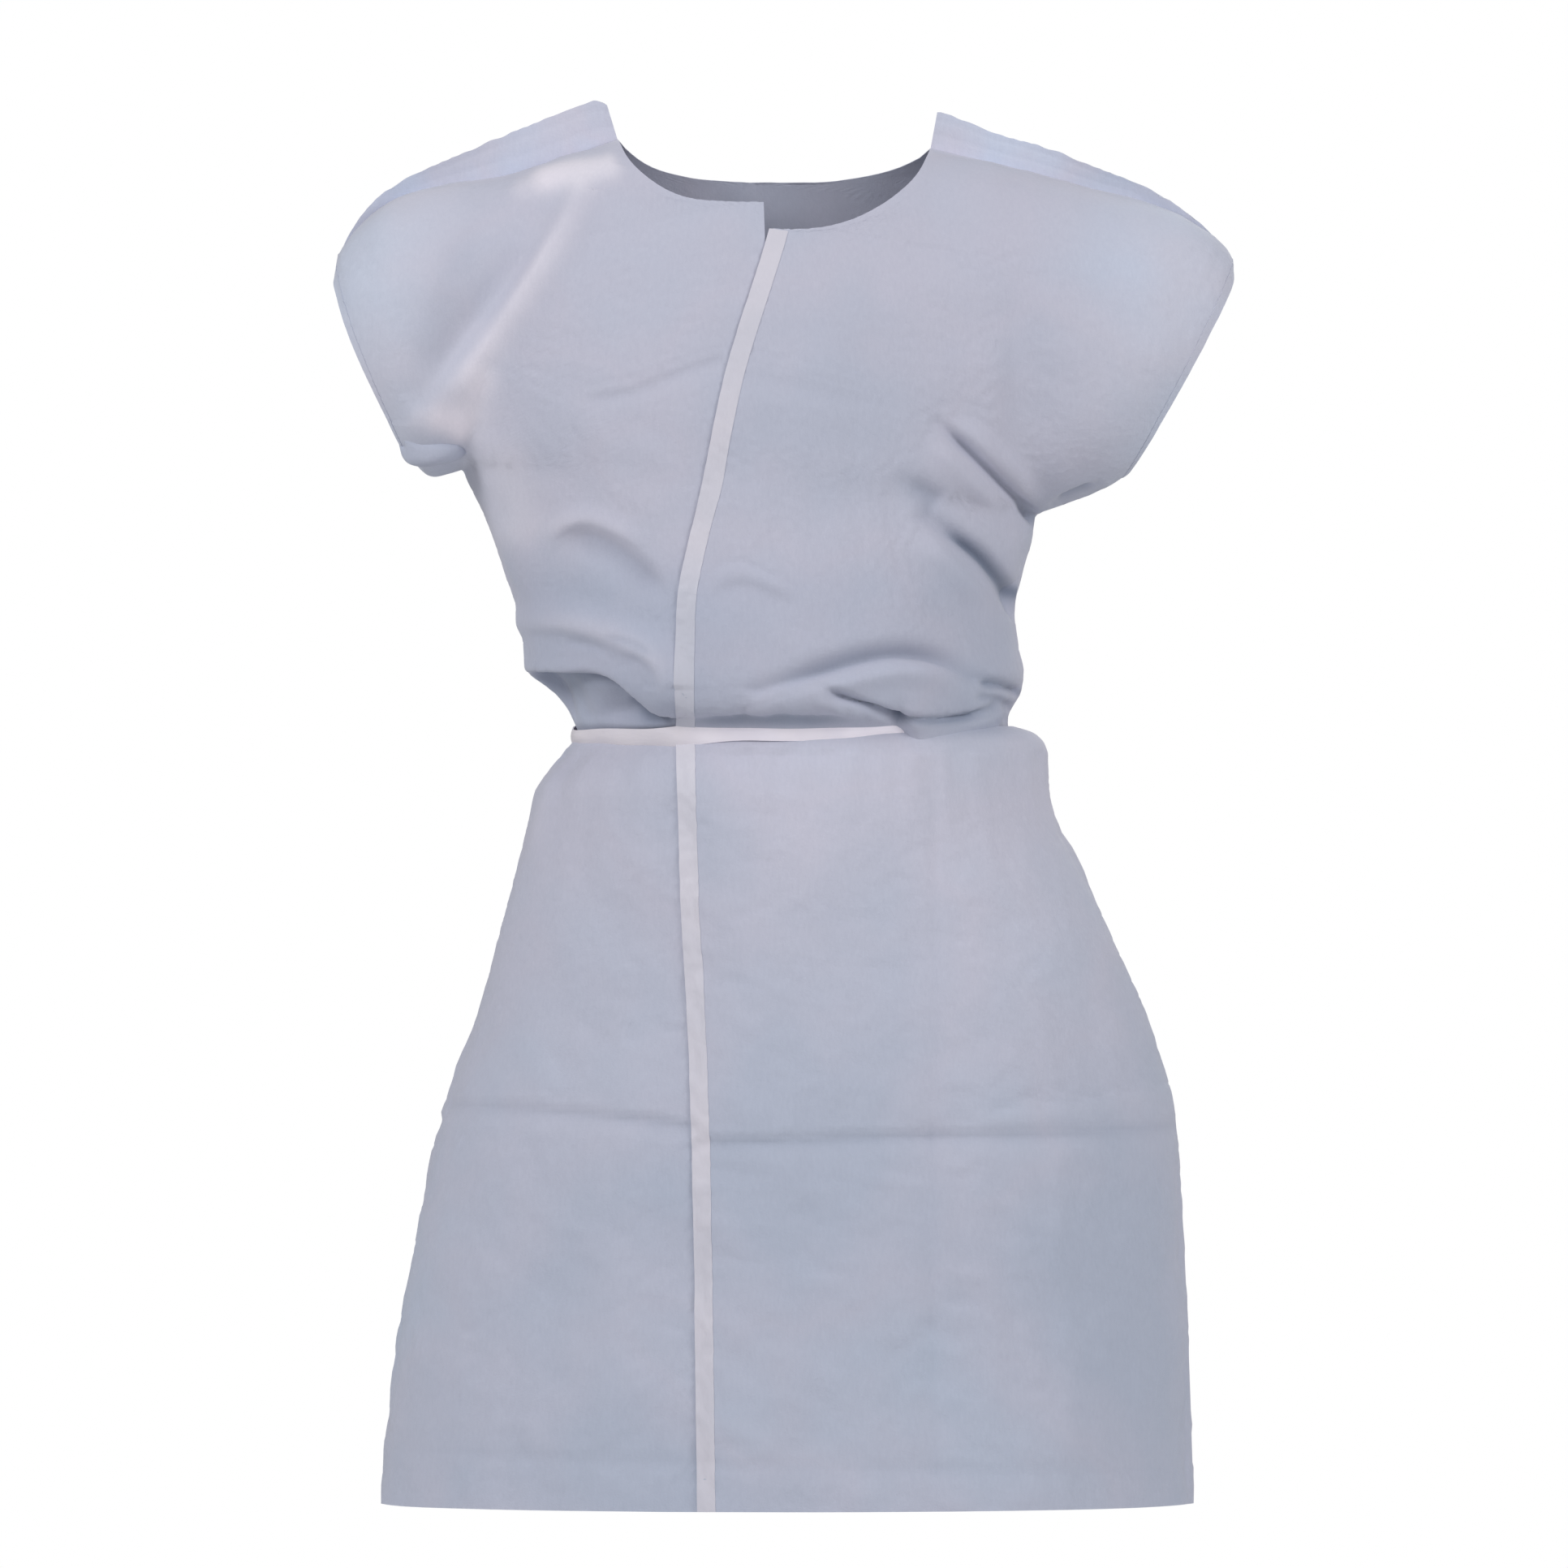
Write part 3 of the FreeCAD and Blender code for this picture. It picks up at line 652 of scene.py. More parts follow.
GATHER_HEIGHT = 0.9 * MM
GATHER_REACH = (0.030, 0.045)      # above and below the belt


def waist_gathers(points):
    """Short gathers where the belt draws the sheet in."""
    angle = np.arctan2(points[:, 0] - waist_middle(), np.abs(points[:, 1]) + 0.02)
    wave = np.sin(angle * 23 + 1.3 * np.sin(angle * 5)) + 0.5 * np.sin(angle * 41 + 2)
    gap = points[:, 2] - WAIST_Z
    near = np.exp(-(gap / np.where(gap > 0, *GATHER_REACH)) ** 2)
    return GATHER_HEIGHT * wave * near


WAVE_HEIGHT = 3.0 * MM
WAVES_FROM = -0.45         # the height at which the waves start


def skirt_waves(points):
    """The long shallow waves of a skirt that hangs free at its hem."""
    drop = smoothstep(WAVES_FROM, HEM_Z, points[:, 2])
    angle = np.arctan2(points[:, 0] - ARMPIT_MIDDLE[0] * MM, -points[:, 1])
    return WAVE_HEIGHT * drop * (np.sin(angle * 7 + 0.6) + 0.6 * np.sin(angle * 11 + 2.1))


SIDE_FREE = (1.0 * MM, 10 * MM)      # from the side line to where the sheet is free
BELT_FREE = (0.55 * BELT_HEIGHT, 1.1 * BELT_HEIGHT)


def edge_mask(points):
    """0 along the sides, the shoulder line and the belt, 1 where the sheet is free."""
    side = smoothstep(*SIDE_FREE, np.abs(points[:, 1]))
    return side * smoothstep(*BELT_FREE, np.abs(points[:, 2] - WAIST_Z))


def vertex_values(piece, what):
    """Three numbers for each of a piece's vertices."""
    values = np.zeros(len(piece.data.vertices) * 3)
    piece.data.vertices.foreach_get(what, values)
    return values.reshape(-1, 3)


def read_points(piece):
    return vertex_values(piece, "co")


def read_normals(piece):
    return vertex_values(piece, "normal")


def write_points(piece, points):
    piece.data.vertices.foreach_set("co", points.ravel())
    piece.data.update()


def face_away(piece, directions):
    """Turns the faces over if they face against the directions."""
    if (read_normals(piece) * directions).sum() < 0:
        piece.data.flip_normals()


FOLD_OF_FULL_PAINTED_LIGHT = 9 * MM       # a fold this deep gets the darkest painted shade, a ridge this high the fullest painted highlight


def fold_panel(piece, facing, folds, under=False):
    """Moves a panel's points into its folds and marks the painted shade and highlight that they give."""
    points = read_points(piece)
    folded, tone = fold_lift(folds, points)
    # painted shade in the folds and painted highlight on the ridges
    set_painted_light(piece, tone / FOLD_OF_FULL_PAINTED_LIGHT)
    lift = folded + crumple(points, CRUMPLE_SEED + int(facing)) + waist_gathers(points)
    lift += np.where(points[:, 2] < WAIST_Z, skirt_waves(points), 0)
    moved = points + read_normals(piece) * (lift * edge_mask(points))[:, None]
    if under:
        moved[:, 1] += under_lap(points)
    write_points(piece, moved)


def set_painted_light(piece, values):
    """Marks each point's painted light, from -1, full painted shade deep in a fold, to 1, full painted
    highlight on a ridge.
    """
    painted_light = piece.data.attributes.new("painted_light", "FLOAT", "POINT")
    painted_light.data.foreach_set("value", np.clip(values, -1, 1).astype(np.float32))


def under_lap(points):
    """How far the under front lies behind the top front."""
    from_edge = points[:, 0] - edge_x("left", FRONT, points[:, 2])
    return LAP_GAP * smoothstep(*LAP_SPAN, from_edge)


# Cloth

CLOTH_SETTINGS = {
    "quality": 4,
    "mass": 0.06,
    "tension_stiffness": 12,
    "compression_stiffness": 12,
    "shear_stiffness": 6,
    "bending_stiffness": 1.2,
    "air_damping": 4,
    "vertex_group_mass": "held",
    "pin_stiffness": 1.0,
    "shrink_min": -0.012,
}
CLOTH_GRAVITY = 0.3        # share of full gravity that the sheet feels
CLOTH_FRAMES = 14


def add_cloth(piece, held):
    """Makes a panel a cloth that each point's own share holds in place."""
    group = piece.vertex_groups.new(name="held")
    steps = np.round(held * HOLD_STEPS).astype(int)
    for step in np.unique(steps):
        group.add(np.nonzero(steps == step)[0].tolist(), step / HOLD_STEPS, "REPLACE")
    cloth = piece.modifiers.new("cloth", "CLOTH")
    for name, value in CLOTH_SETTINGS.items():
        setattr(cloth.settings, name, value)
    cloth.settings.effector_weights.gravity = CLOTH_GRAVITY
    cloth.collision_settings.use_collision = False
    cloth.collision_settings.use_self_collision = False
    cloth.point_cache.frame_start = 1
    cloth.point_cache.frame_end = CLOTH_FRAMES


def settle(pieces):
    """Lets the sheets buckle a little and relax, held at their edges and loosely to their place."""
    for piece, held in pieces:
        add_cloth(piece, held)
    for number in range(1, CLOTH_FRAMES + 1):
        bpy.context.scene.frame_set(number)
    for piece, _ in pieces:
        apply_modifiers(piece)
        piece.vertex_groups.clear()
    bpy.context.scene.frame_set(1)


HOLD_STEPS = 20
LOOSE_HOLD = 0.3
NECK_HOLD = 110 * MM       # how far down the sheet is held closely below the shoulders
FIRM_FOLD = 3.5 * MM       # a fold this high is held fast
BELT_HOLD = 0.7 * BELT_HEIGHT


def boundary_hold(piece, folds):
    """Full hold on the sheet's border and in its folds, part hold elsewhere."""
    border = edge_ends(piece)[edge_uses(piece) == 1].ravel()
    points = read_points(piece)
    size = sum(np.abs(fold.lift(points[:, [0, 2]])) for fold in folds)
    held = np.clip(LOOSE_HOLD + size / FIRM_FOLD, 0, 1)
    held = np.maximum(held, smoothstep(-NECK_HOLD, 0.0, points[:, 2]))
    held[border] = 1.0
    held[np.abs(points[:, 2] - WAIST_Z) < BELT_HOLD] = 1.0
    return held


# Materials

def srgb(red, green, blue):
    """A colour given from 0 to 255 as linear light."""
    parts = []
    for value in (red, green, blue):
        share = value / 255
        parts.append(share / 12.92 if share <= 0.04045 else ((share + 0.055) / 1.055) ** 2.4)
    return parts


class Nodes:
    """A material's node tree, with short ways to add to it."""

    def __init__(self, name):
        self.material = bpy.data.materials.new(name)
        self.material.use_nodes = True
        self.tree = self.material.node_tree
        self.shader = self.tree.nodes["Principled BSDF"]
        self.place = self.add("ShaderNodeTexCoord").outputs["Object"]

    def add(self, kind, **values):
        node = self.tree.nodes.new(kind)
        for key, value in values.items():
            setattr(node, key, value)
        return node

    def join(self, output, target):
        self.tree.links.new(output, target)

    def noise(self, scale, detail=2.0, roughness=0.5, stretch=(1, 1, 1)):
        mapping = self.add("ShaderNodeMapping")
        mapping.inputs["Scale"].default_value = stretch
        self.join(self.place, mapping.inputs["Vector"])
        texture = self.add("ShaderNodeTexNoise")
        texture.inputs["Scale"].default_value = scale
        texture.inputs["Detail"].default_value = detail
        texture.inputs["Roughness"].default_value = roughness
        self.join(mapping.outputs["Vector"], texture.inputs["Vector"])
        return texture.outputs["Fac"]

    def ramp(self, source, stops):
        node = self.add("ShaderNodeValToRGB")
        elements = node.color_ramp.elements
        while len(elements) < len(stops):
            elements.new(0.5)
        for element, (position, colour) in zip(elements, stops):
            element.position = position
            element.color = (*colour, 1)
        self.join(source, node.inputs["Fac"])
        return node.outputs["Color"]

    def axis(self, name):
        """One coordinate of the place on the object."""
        parts = self.add("ShaderNodeSeparateXYZ")
        self.join(self.place, parts.inputs["Vector"])
        return parts.outputs[name]

    def outward(self, start, end):
        """0 near the middle of the body, 1 out to both sides."""
        size = self.add("ShaderNodeMath", operation="ABSOLUTE")
        self.join(self.axis("X"), size.inputs[0])
        return fade(self, size.outputs["Value"], start, end)

    def times(self, first, second):
        node = self.add("ShaderNodeMath", operation="MULTIPLY")
        self.join(first, node.inputs[0])
        self.join(second, node.inputs[1])
        return node.outputs["Value"]

    def mix(self, share, first, second, kind="MIX"):
        node = self.add("ShaderNodeMix", data_type="RGBA", blend_type=kind)
        if isinstance(share, float):
            node.inputs["Factor"].default_value = share
        else:
            self.join(share, node.inputs["Factor"])
        self.join(first, node.inputs["A"])
        self.join(second, node.inputs["B"])
        return node.outputs["Result"]

    def shade(self, colour, factor):
        """A colour multiplied by another."""
        return self.mix(1.0, colour, factor, "MULTIPLY")

    def bump(self, height, distance, strength, normal=None):
        node = self.add("ShaderNodeBump")
        node.inputs["Distance"].default_value = distance
        node.inputs["Strength"].default_value = strength
        self.join(height, node.inputs["Height"])
        if normal is not None:
            self.join(normal, node.inputs["Normal"])
        return node.outputs["Normal"]

    def finish(self, colour, normal, roughness, sheen, specular):
        self.join(colour, self.shader.inputs["Base Color"])
        self.join(normal, self.shader.inputs["Normal"])
        self.shader.inputs["Roughness"].default_value = roughness
        self.shader.inputs["Sheen Weight"].default_value = sheen
        self.shader.inputs["Specular IOR Level"].default_value = specular
        return self.material


RIDGE_HIGHLIGHT_SHARE = 0.85         # of the painted highlight's pale tone that the highest ridge takes
TONE_STOPS = (0.36, 0.5, 0.64)
UPPER_TONES = (srgb(182, 186, 203), srgb(189, 189, 205), srgb(185, 189, 206))
LOWER_TONES = (srgb(176, 183, 201), srgb(184, 187, 204), srgb(179, 187, 205))
SLEEVE_TONES = (srgb(190, 197, 214), srgb(196, 197, 212), srgb(193, 200, 218))
SEAM_TONES = (srgb(198, 204, 222), srgb(205, 204, 219), srgb(201, 208, 226))


def fade(nodes, source, start, end):
    """0 at one value of the source, 1 at another, smooth between."""
    node = nodes.add("ShaderNodeMapRange", interpolation_type="SMOOTHSTEP")
    node.inputs["From Min"].default_value = start
    node.inputs["From Max"].default_value = end
    nodes.join(source, node.inputs["Value"])
    return node.outputs["Result"]


def paint_light_and_shade(nodes, colour):
    """Painted shade where the sheet sinks into a fold, painted highlight along a raised ridge."""
    painted_light = nodes.add("ShaderNodeAttribute", attribute_name="painted_light").outputs["Fac"]
    fold_shade = nodes.ramp(fade(nodes, painted_light, 0.0, -1.0),
                      ((0.0, (1, 1, 1)), (0.4, (0.74, 0.77, 0.80)), (1.0, (0.36, 0.41, 0.47))))
    colour = nodes.shade(colour, fold_shade)
    # the pale colour of the painted highlight on the ridges
    pale = nodes.ramp(nodes.noise(11.0), ((0.4, srgb(224, 220, 230)), (0.6, srgb(233, 226, 236))))
    ridge_highlight = nodes.add("ShaderNodeMath", operation="MULTIPLY")
    nodes.join(fade(nodes, painted_light, 0.05, 1.0), ridge_highlight.inputs[0])
    ridge_highlight.inputs[1].default_value = RIDGE_HIGHLIGHT_SHARE
    return nodes.mix(ridge_highlight.outputs["Value"], colour, pale)


def gown_tone(nodes):
    """Lavender on the chest, greyer blue down the skirt, paler blue out on the sleeves, with painted
    light at the front.
    """
    cloud = nodes.noise(5.0, 3.0)
    upper = nodes.ramp(cloud, list(zip(TONE_STOPS, UPPER_TONES)))
    lower = nodes.ramp(cloud, list(zip(TONE_STOPS, LOWER_TONES)))
    outer = nodes.ramp(cloud, list(zip(TONE_STOPS, SLEEVE_TONES)))
    height = nodes.axis("Z")
    colour = nodes.mix(fade(nodes, height, -0.45, -0.76), upper, lower)
    sleeve = nodes.times(nodes.outward(0.17, 0.30), fade(nodes, height, -0.26, -0.20))
    return front_painted_light(nodes, nodes.mix(sleeve, colour, outer))


def front_painted_light(nodes, colour):
    """Painted shade above the belt, and painted light below it on the wearer's left, both at the front.
    """
    height = nodes.axis("Z")
    across = nodes.axis("X")
    facing = fade(nodes, nodes.axis("Y"), 0.03, -0.05)
    above = nodes.times(fade(nodes, height, -0.27, -0.32), fade(nodes, height, -0.422, -0.410))
    above = nodes.times(above, facing)
    for share in (above, nodes.times(above, fade(nodes, across, 0.02, -0.10))):
        above_belt_shade = nodes.ramp(share, ((0.0, (1, 1, 1)), (1.0, (0.92, 0.94, 0.955))))
        colour = nodes.shade(colour, above_belt_shade)
    below = nodes.times(fade(nodes, height, -0.82, -0.43), fade(nodes, height, -0.405, -0.42))
    below = nodes.times(nodes.times(below, facing), fade(nodes, across, -0.10, 0.04))
    below_belt_light = nodes.ramp(below, ((0.0, (1, 1, 1)), (1.0, (1.10, 1.09, 1.08))))
    return nodes.shade(colour, below_belt_light)


def tissue():
    """Film-backed tissue: matte, with fibres, a fine emboss and small creases, and painted shade and
    highlight.
    """
    nodes = Nodes("gown_tissue")
    return finish_tissue(nodes, paint_light_and_shade(nodes, gown_tone(nodes)))


def seam_tissue():
    """The bonded seam, paler than the sheet by the neck and like the sleeve further out."""
    nodes = Nodes("seam_tissue")
    cloud = nodes.noise(9.0, 3.0)
    inner = nodes.ramp(cloud, list(zip(TONE_STOPS, SEAM_TONES)))
    outer = nodes.ramp(cloud, list(zip(TONE_STOPS, SLEEVE_TONES)))
    return finish_tissue(nodes, nodes.mix(nodes.outward(0.17, 0.23), inner, outer))


def finish_tissue(nodes, colour):
    """Fibres, emboss and small creases on a tissue of any tone."""
    fibre = nodes.noise(420.0, 3.0, 0.6, (1, 1, 0.35))
    flecks = nodes.ramp(fibre, ((0.3, (0.955, 0.957, 0.965)), (0.7, (1, 1, 1))))
    colour = nodes.shade(colour, flecks)
    emboss = nodes.add("ShaderNodeTexVoronoi", feature="SMOOTH_F1")
    emboss.inputs["Scale"].default_value = 650.0
    nodes.join(nodes.place, emboss.inputs["Vector"])
    normal = nodes.bump(emboss.outputs["Distance"], 0.00025, 0.35)
    normal = nodes.bump(fibre, 0.0002, 0.3, normal)
    normal = nodes.bump(nodes.noise(24.0, 4.0, 0.55), 0.003, 0.18, normal)
    return nodes.finish(colour, normal, 0.7, 0.2, 0.25)


def tape():
    """The pale tape: smoother than the tissue, with a faint pink that is painted reflection, and painted
    light at the front.
    """
    nodes = Nodes("edge_tape")
    tone = nodes.ramp(nodes.noise(16.0, 3.0), ((0.35, srgb(200, 199, 211)), (0.65, srgb(208, 205, 216))))
    tone = front_painted_light(nodes, tone)
    normal = nodes.bump(nodes.noise(300.0, 2.0, 0.5, (1, 1, 0.2)), 0.0002, 0.3)
    normal = nodes.bump(nodes.noise(30.0, 3.0), 0.0025, 0.15, normal)
    return nodes.finish(tone, normal, 0.5, 0.1, 0.4)


def belt_film():
    """The belt: thin pale film with a slight shine, with painted shade on the wearer's right."""
    nodes = Nodes("belt_film")
    tone = nodes.ramp(nodes.noise(20.0, 3.0), ((0.35, srgb(240, 235, 248)), (0.65, srgb(250, 244, 254))))
    # painted shade on the wearer's right of the belt
    shaded = nodes.ramp(fade(nodes, nodes.axis("X"), -0.035, -0.085),
                        ((0.0, (1, 1, 1)), (1.0, (0.76, 0.76, 0.75))))
    tone = nodes.shade(tone, shaded)
    normal = nodes.bump(nodes.noise(60.0, 4.0, 0.6, (0.3, 0.3, 2.0)), 0.0015, 0.35)
    return nodes.finish(tone, normal, 0.38, 0.0, 0.5)


# Pieces

# Steps of the panels' grids: of an upper panel, those round the sleeve, across the yoke, along
# the sleeve and down the bodice, and of a skirt panel, those down and across
UPPER_FINE = {FRONT: (112, 104, 50, 92), BACK: (64, 54, 30, 48)}
SKIRT_FINE = {FRONT: (150, 76), BACK: (110, 60)}


def make_upper(side, facing, material):
    """A front or back panel above the belt, sleeve and all, in its folds but still thin."""
    top, low = upper_panel(side, facing, UPPER_FINE[facing])
    if (side, facing) == ("left", FRONT):
        low = droop_over_belt(low)
    points, faces = join_panel(top, low)
    word = "front" if facing == FRONT else "back"
    piece = new_mesh(f"{side}_{word}_panel", points, faces)
    smooth_join(piece, top.shape)
    face_away(piece, (0, facing, 0))
    folds = CHEST_FOLDS + WAIST_FOLDS if facing == FRONT else BACK_FOLDS
    fold_panel(piece, facing, folds, (side, facing) == ("right", FRONT))
    piece.data.materials.append(material)
    return piece, (top.shape, low.shape)


JOIN_REACH = 14 * MM


def smooth_join(piece, top_shape, rounds=40, pull=0.7):
    """Evens out the sheet where the yoke's rows meet the bodice's."""
    points = read_points(piece)
    last = points[grid_index(top_shape)[-1]]
    order = np.argsort(last[:, 0])
    join_z = np.interp(points[:, 0], last[order, 0], last[order, 2])
    weight = np.exp(-((points[:, 2] - join_z) / JOIN_REACH) ** 2)
    ends = edge_ends(piece)
    weight[ends[edge_uses(piece) == 1].ravel()] = 0
    count = np.bincount(ends.ravel(), minlength=len(points))[:, None]
    for _ in range(rounds):
        total = np.zeros_like(points)
        np.add.at(total, ends[:, 0], points[ends[:, 1]])
        np.add.at(total, ends[:, 1], points[ends[:, 0]])
        points += pull * weight[:, None] * (total / count - points)
    write_points(piece, points)


def edge_ends(piece):
    """The two vertex numbers of each edge."""
    ends = np.zeros(len(piece.data.edges) * 2, int)
    piece.data.edges.foreach_get("vertices", ends)
    return ends.reshape(-1, 2)


def edge_uses(piece):
    """How many faces each edge belongs to."""
    index = np.zeros(len(piece.data.loops), int)
    piece.data.loops.foreach_get("edge_index", index)
    return np.bincount(index, minlength=len(piece.data.edges))


DROOP = 9 * MM             # how far the blouse hangs down over the belt
DROOP_OUT = 6 * MM
DROOP_INNER = (0.085, 0.105)       # where across the body it starts, and where it is full
DROOP_OUTER = (0.172, 0.150)


def droop_over_belt(low):
    """The wearer's left of the blouse hangs a little over the belt."""
    share = np.linspace(0, 1, low.shape[0])[:, None]
    across = smoothstep(*DROOP_INNER, low[..., 0]) * smoothstep(*DROOP_OUTER, low[..., 0])
    late = smoothstep(0.80, 0.96, share) * smoothstep(1.0, 0.985, share)
    low = low.copy()
    low[..., 2] -= DROOP * late * across
    low[..., 1] -= DROOP_OUT * late * across
    return low


def make_skirt(side, material):
    """A front skirt panel."""
    grid = skirt_grid(side, FRONT, *SKIRT_FINE[FRONT])
    piece = grid_piece(f"{side}_front_skirt_panel", grid, material, FRONT)
    fold_panel(piece, FRONT, SKIRT_FOLDS, side == "right")
    return piece, grid.shape


def make_back_skirt(material):
    """The back of the skirt, in one panel."""
    left = skirt_grid("left", BACK, *SKIRT_FINE[BACK])
    right = skirt_grid("right", BACK, *SKIRT_FINE[BACK])
    grid = np.concatenate([right[:, :0:-1], left], axis=1)
    piece = grid_piece("back_skirt_panel", grid, material, BACK)
    fold_panel(piece, BACK, BACK_FOLDS)
    return piece


def strip_over(piece, index, name, material):
    """A thin strip that lies over some of a panel's points, given by number."""
    normals = read_normals(piece)[index]
    points = read_points(piece)[index] + normals * STRIP_LIFT
    return grid_piece(name, points, material, np.sign(normals[..., 1].mean()))


def main_sheets():
    """Every panel, still one layer thick, by name."""
    gown = tissue()
    sheets = {}
    shapes = {}
    for side in SIDES:
        for facing, word in ((FRONT, "front"), (BACK, "back")):
            sheets[f"{side}_{word}"], shapes[f"{side}_{word}"] = make_upper(side, facing, gown)
        sheets[f"{side}_skirt"], shapes[f"{side}_skirt"] = make_skirt(side, gown)
    sheets["back_skirt"] = make_back_skirt(gown)
    held = []
    for name, piece in sheets.items():
        folds = BACK_FOLDS if "back" in name else CHEST_FOLDS + WAIST_FOLDS + SKIRT_FOLDS
        held.append((piece, boundary_hold(piece, folds)))
    settle(held)
    return sheets, shapes, gown


def make_tapes(sheets, shapes, material):
    """The tape on the top front's free edge, above and below the belt."""
    columns = slice(0, TAPE_COLUMNS + 1)
    top, low = panel_index(*shapes["left_front"])
    corner = round(NECK_ROWS[FRONT] * (len(top) - 1))
    index = np.concatenate([top[corner:-1, columns], low[:, columns]])
    upper = strip_over(sheets["left_front"], index, "bodice_tape", material)
    index = grid_index(shapes["left_skirt"])[:, columns]
    return upper, strip_over(sheets["left_skirt"], index, "skirt_tape", material)


def belt_ring(rows, turns=160):
    """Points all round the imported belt's outline, the same in each row, and their angles."""
    low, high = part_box("waist_belt")
    angle = np.linspace(0, 2 * math.pi, turns, endpoint=False)
    grid = np.zeros((rows, turns, 3))
    grid[..., 0] = waist_middle() + (high[0] - low[0]) / 2 * np.cos(angle)
    grid[..., 1] = np.where(np.sin(angle) > 0, high[1], -low[1]) * np.sin(angle)
    return grid, angle


BELT_ROWS = 9
BELT_MIDDLE = (-95 * MM, -12 * MM)       # where the front of the belt rises to its full height
BELT_TUCK = (92 * MM, 112 * MM)          # where the belt goes in under the blouse


def make_belt(material):
    """The belt, a thin flat band drawn tight and a little twisted in places."""
    grid, angle = belt_ring(BELT_ROWS)
    across = np.linspace(-0.5, 0.5, BELT_ROWS)[:, None]
    width = BELT_HEIGHT * (1.12 + 0.08 * np.sin(angle * 3 + 1) + 0.04 * np.sin(angle * 7))
    x = grid[0, :, 0]
    front = smoothstep(0.2, -0.4, np.sin(angle))
    middle = smoothstep(*BELT_MIDDLE, x)
    centre = WAIST_Z + (7.0 * middle - 2.2) * MM * front + 0.4 * MM * np.sin(angle * 9)
    grid[..., 2] = centre + across * width
    bulge = 1.8 * MM * np.cos(across * math.pi) + 0.3 * MM * np.sin(angle * 17 + 3 * across)
    tilt = 5.0 * MM * (1 - middle) * front * across
    tucked = -7.0 * MM * smoothstep(*BELT_TUCK, x) * smoothstep(0.7, 0.25, np.sin(angle))
    outward = np.stack([np.cos(angle), np.sin(angle)], axis=-1)
    grid[..., :2] += outward * (bulge + tilt + tucked)[..., None]
    belt = grid_piece("belt_band", grid, material, closed=True)
    thicken(belt, BELT_THICKNESS)
    return belt


# The foot and the top edge of each upright shoulder seam
FLANGE_FOOT = {
    "right": ((-111, 8), (-147, -4), (-165, -10.5), (-200, -18.5), (-240, -25), (-270, -34),
              (-292, -50), (-306, -68)),
    "left": ((112, 2), (140, -3.5), (165, -9.5), (219, -24.5), (262, -34.5), (290, -47),
             (312, -61), (322, -72)),
}
FLANGE_TOP = {
    "right": ((-119, 34), (-126, 37), (-145, 31), (-176, 19), (-228, -3), (-263, -19),
              (-286, -35), (-302, -56), (-309, -70)),
    "left": ((117, 29), (122, 28), (158, 14), (195, 3.5), (234, -12), (260, -22), (290, -39),
             (313, -58), (323.5, -71.5)),
}
FLANGE_COLUMNS = 90
FLANGE_ROWS = 16
LOWEST_ROW = 0.00625       # share of the height at which the rows start


def make_flange(side, material):
    """Front and back bonded face to face, standing up along the shoulder."""
    steps = np.linspace(0, 1, FLANGE_COLUMNS)
    foot = spline(np.array(FLANGE_FOOT[side], float) * MM, steps)
    top = spline(np.array(FLANGE_TOP[side], float) * MM, steps)
    rise = np.linspace(LOWEST_ROW, 1, FLANGE_ROWS)[:, None]
    flat = foot + (top - foot) * rise[..., None]
    ragged = 0.45 * MM * np.sin(steps * 41 + 2 * np.sin(steps * 17)) * np.sin(steps * 9 + 1)
    flat[-1, :, 1] += ragged + 0.25 * MM * np.sin(steps * 113 + 3 * np.sin(steps * 23))
    lean = -(1.8 * rise ** 1.5 + 0.7 * np.sin(steps * 9 + 2 * rise) * rise) * MM
    lean = lean * smoothstep(1.0, 0.72, steps)
    bond = 0.25 * MM * smoothstep(0.75, 0.4, steps) * (
        np.exp(-((rise - 0.42) / 0.05) ** 2) + np.exp(-((rise - 0.8) / 0.05) ** 2))
    grid = np.stack([flat[..., 0], lean + bond, flat[..., 1]], axis=-1)
    flange = grid_piece(f"{side}_seam_flange", grid, material, FRONT)
    thicken(flange, FLANGE_THICKNESS)
    return flange


def make_hems(side, sheets, shapes, material):
    """The turned hem at the sleeve's edge, front and back."""
    strips = []
    for word in ("front", "back"):
        top_shape, _ = shapes[f"{side}_{word}"]
        index = grid_index(top_shape)[:, -HEM_COLUMNS:]
        strips.append(strip_over(sheets[f"{side}_{word}"], index, f"{side}_{word}_sleeve_hem",
                                 material))
    return strips


# The roll's middle line from its outer end, and its half height along it
CUFF_LINE = ((-265, -38, -208), (-261, -43, -211), (-250, -47, -213.5), (-238, -47, -213.5),
             (-227, -43, -213), (-216, -34, -212))
CUFF_HEIGHT = ((0, 1.2), (0.04, 5.5), (0.12, 9), (0.3, 11.5), (0.6, 10), (0.85, 6.5), (1.0, 1.2))
CUFF_DEPTH = 8
ROLL_PAINTED_SHADE = -0.32        # painted shade: the roll is a little darker all over


def make_cuff(material):
    """The rolled-up end of the right sleeve's underside."""
    share = np.linspace(0, 1, 60)
    line = spline(np.array(CUFF_LINE, float) * MM, share)
    around = np.linspace(0, 2 * math.pi, 30, endpoint=False)
    half_height = table(CUFF_HEIGHT, share)[:, 0] * MM
    half_depth = np.minimum(half_height, CUFF_DEPTH * MM)
    wrap = 1 + 0.03 * np.sin(around * 3 + share[:, None] * 7) + 0.015 * np.sin(around * 7)
    grid = np.repeat(line[:, None], len(around), axis=1)
    grid[..., 1] += half_depth[:, None] * wrap * np.cos(around)
    grid[..., 2] += half_height[:, None] * wrap * np.sin(around)
    grid[..., 0] += 1.5 * MM * np.sin(around * 2 + 1)
    cuff = grid_piece("right_sleeve_roll", grid, material, closed=True)
    # painted shade over the whole roll
    set_painted_light(cuff, np.full(grid.size // 3, ROLL_PAINTED_SHADE))
    thicken(cuff)
    return cuff


TAIL_TUCK = 7 * MM         # how far the top of a tail runs up into the knot


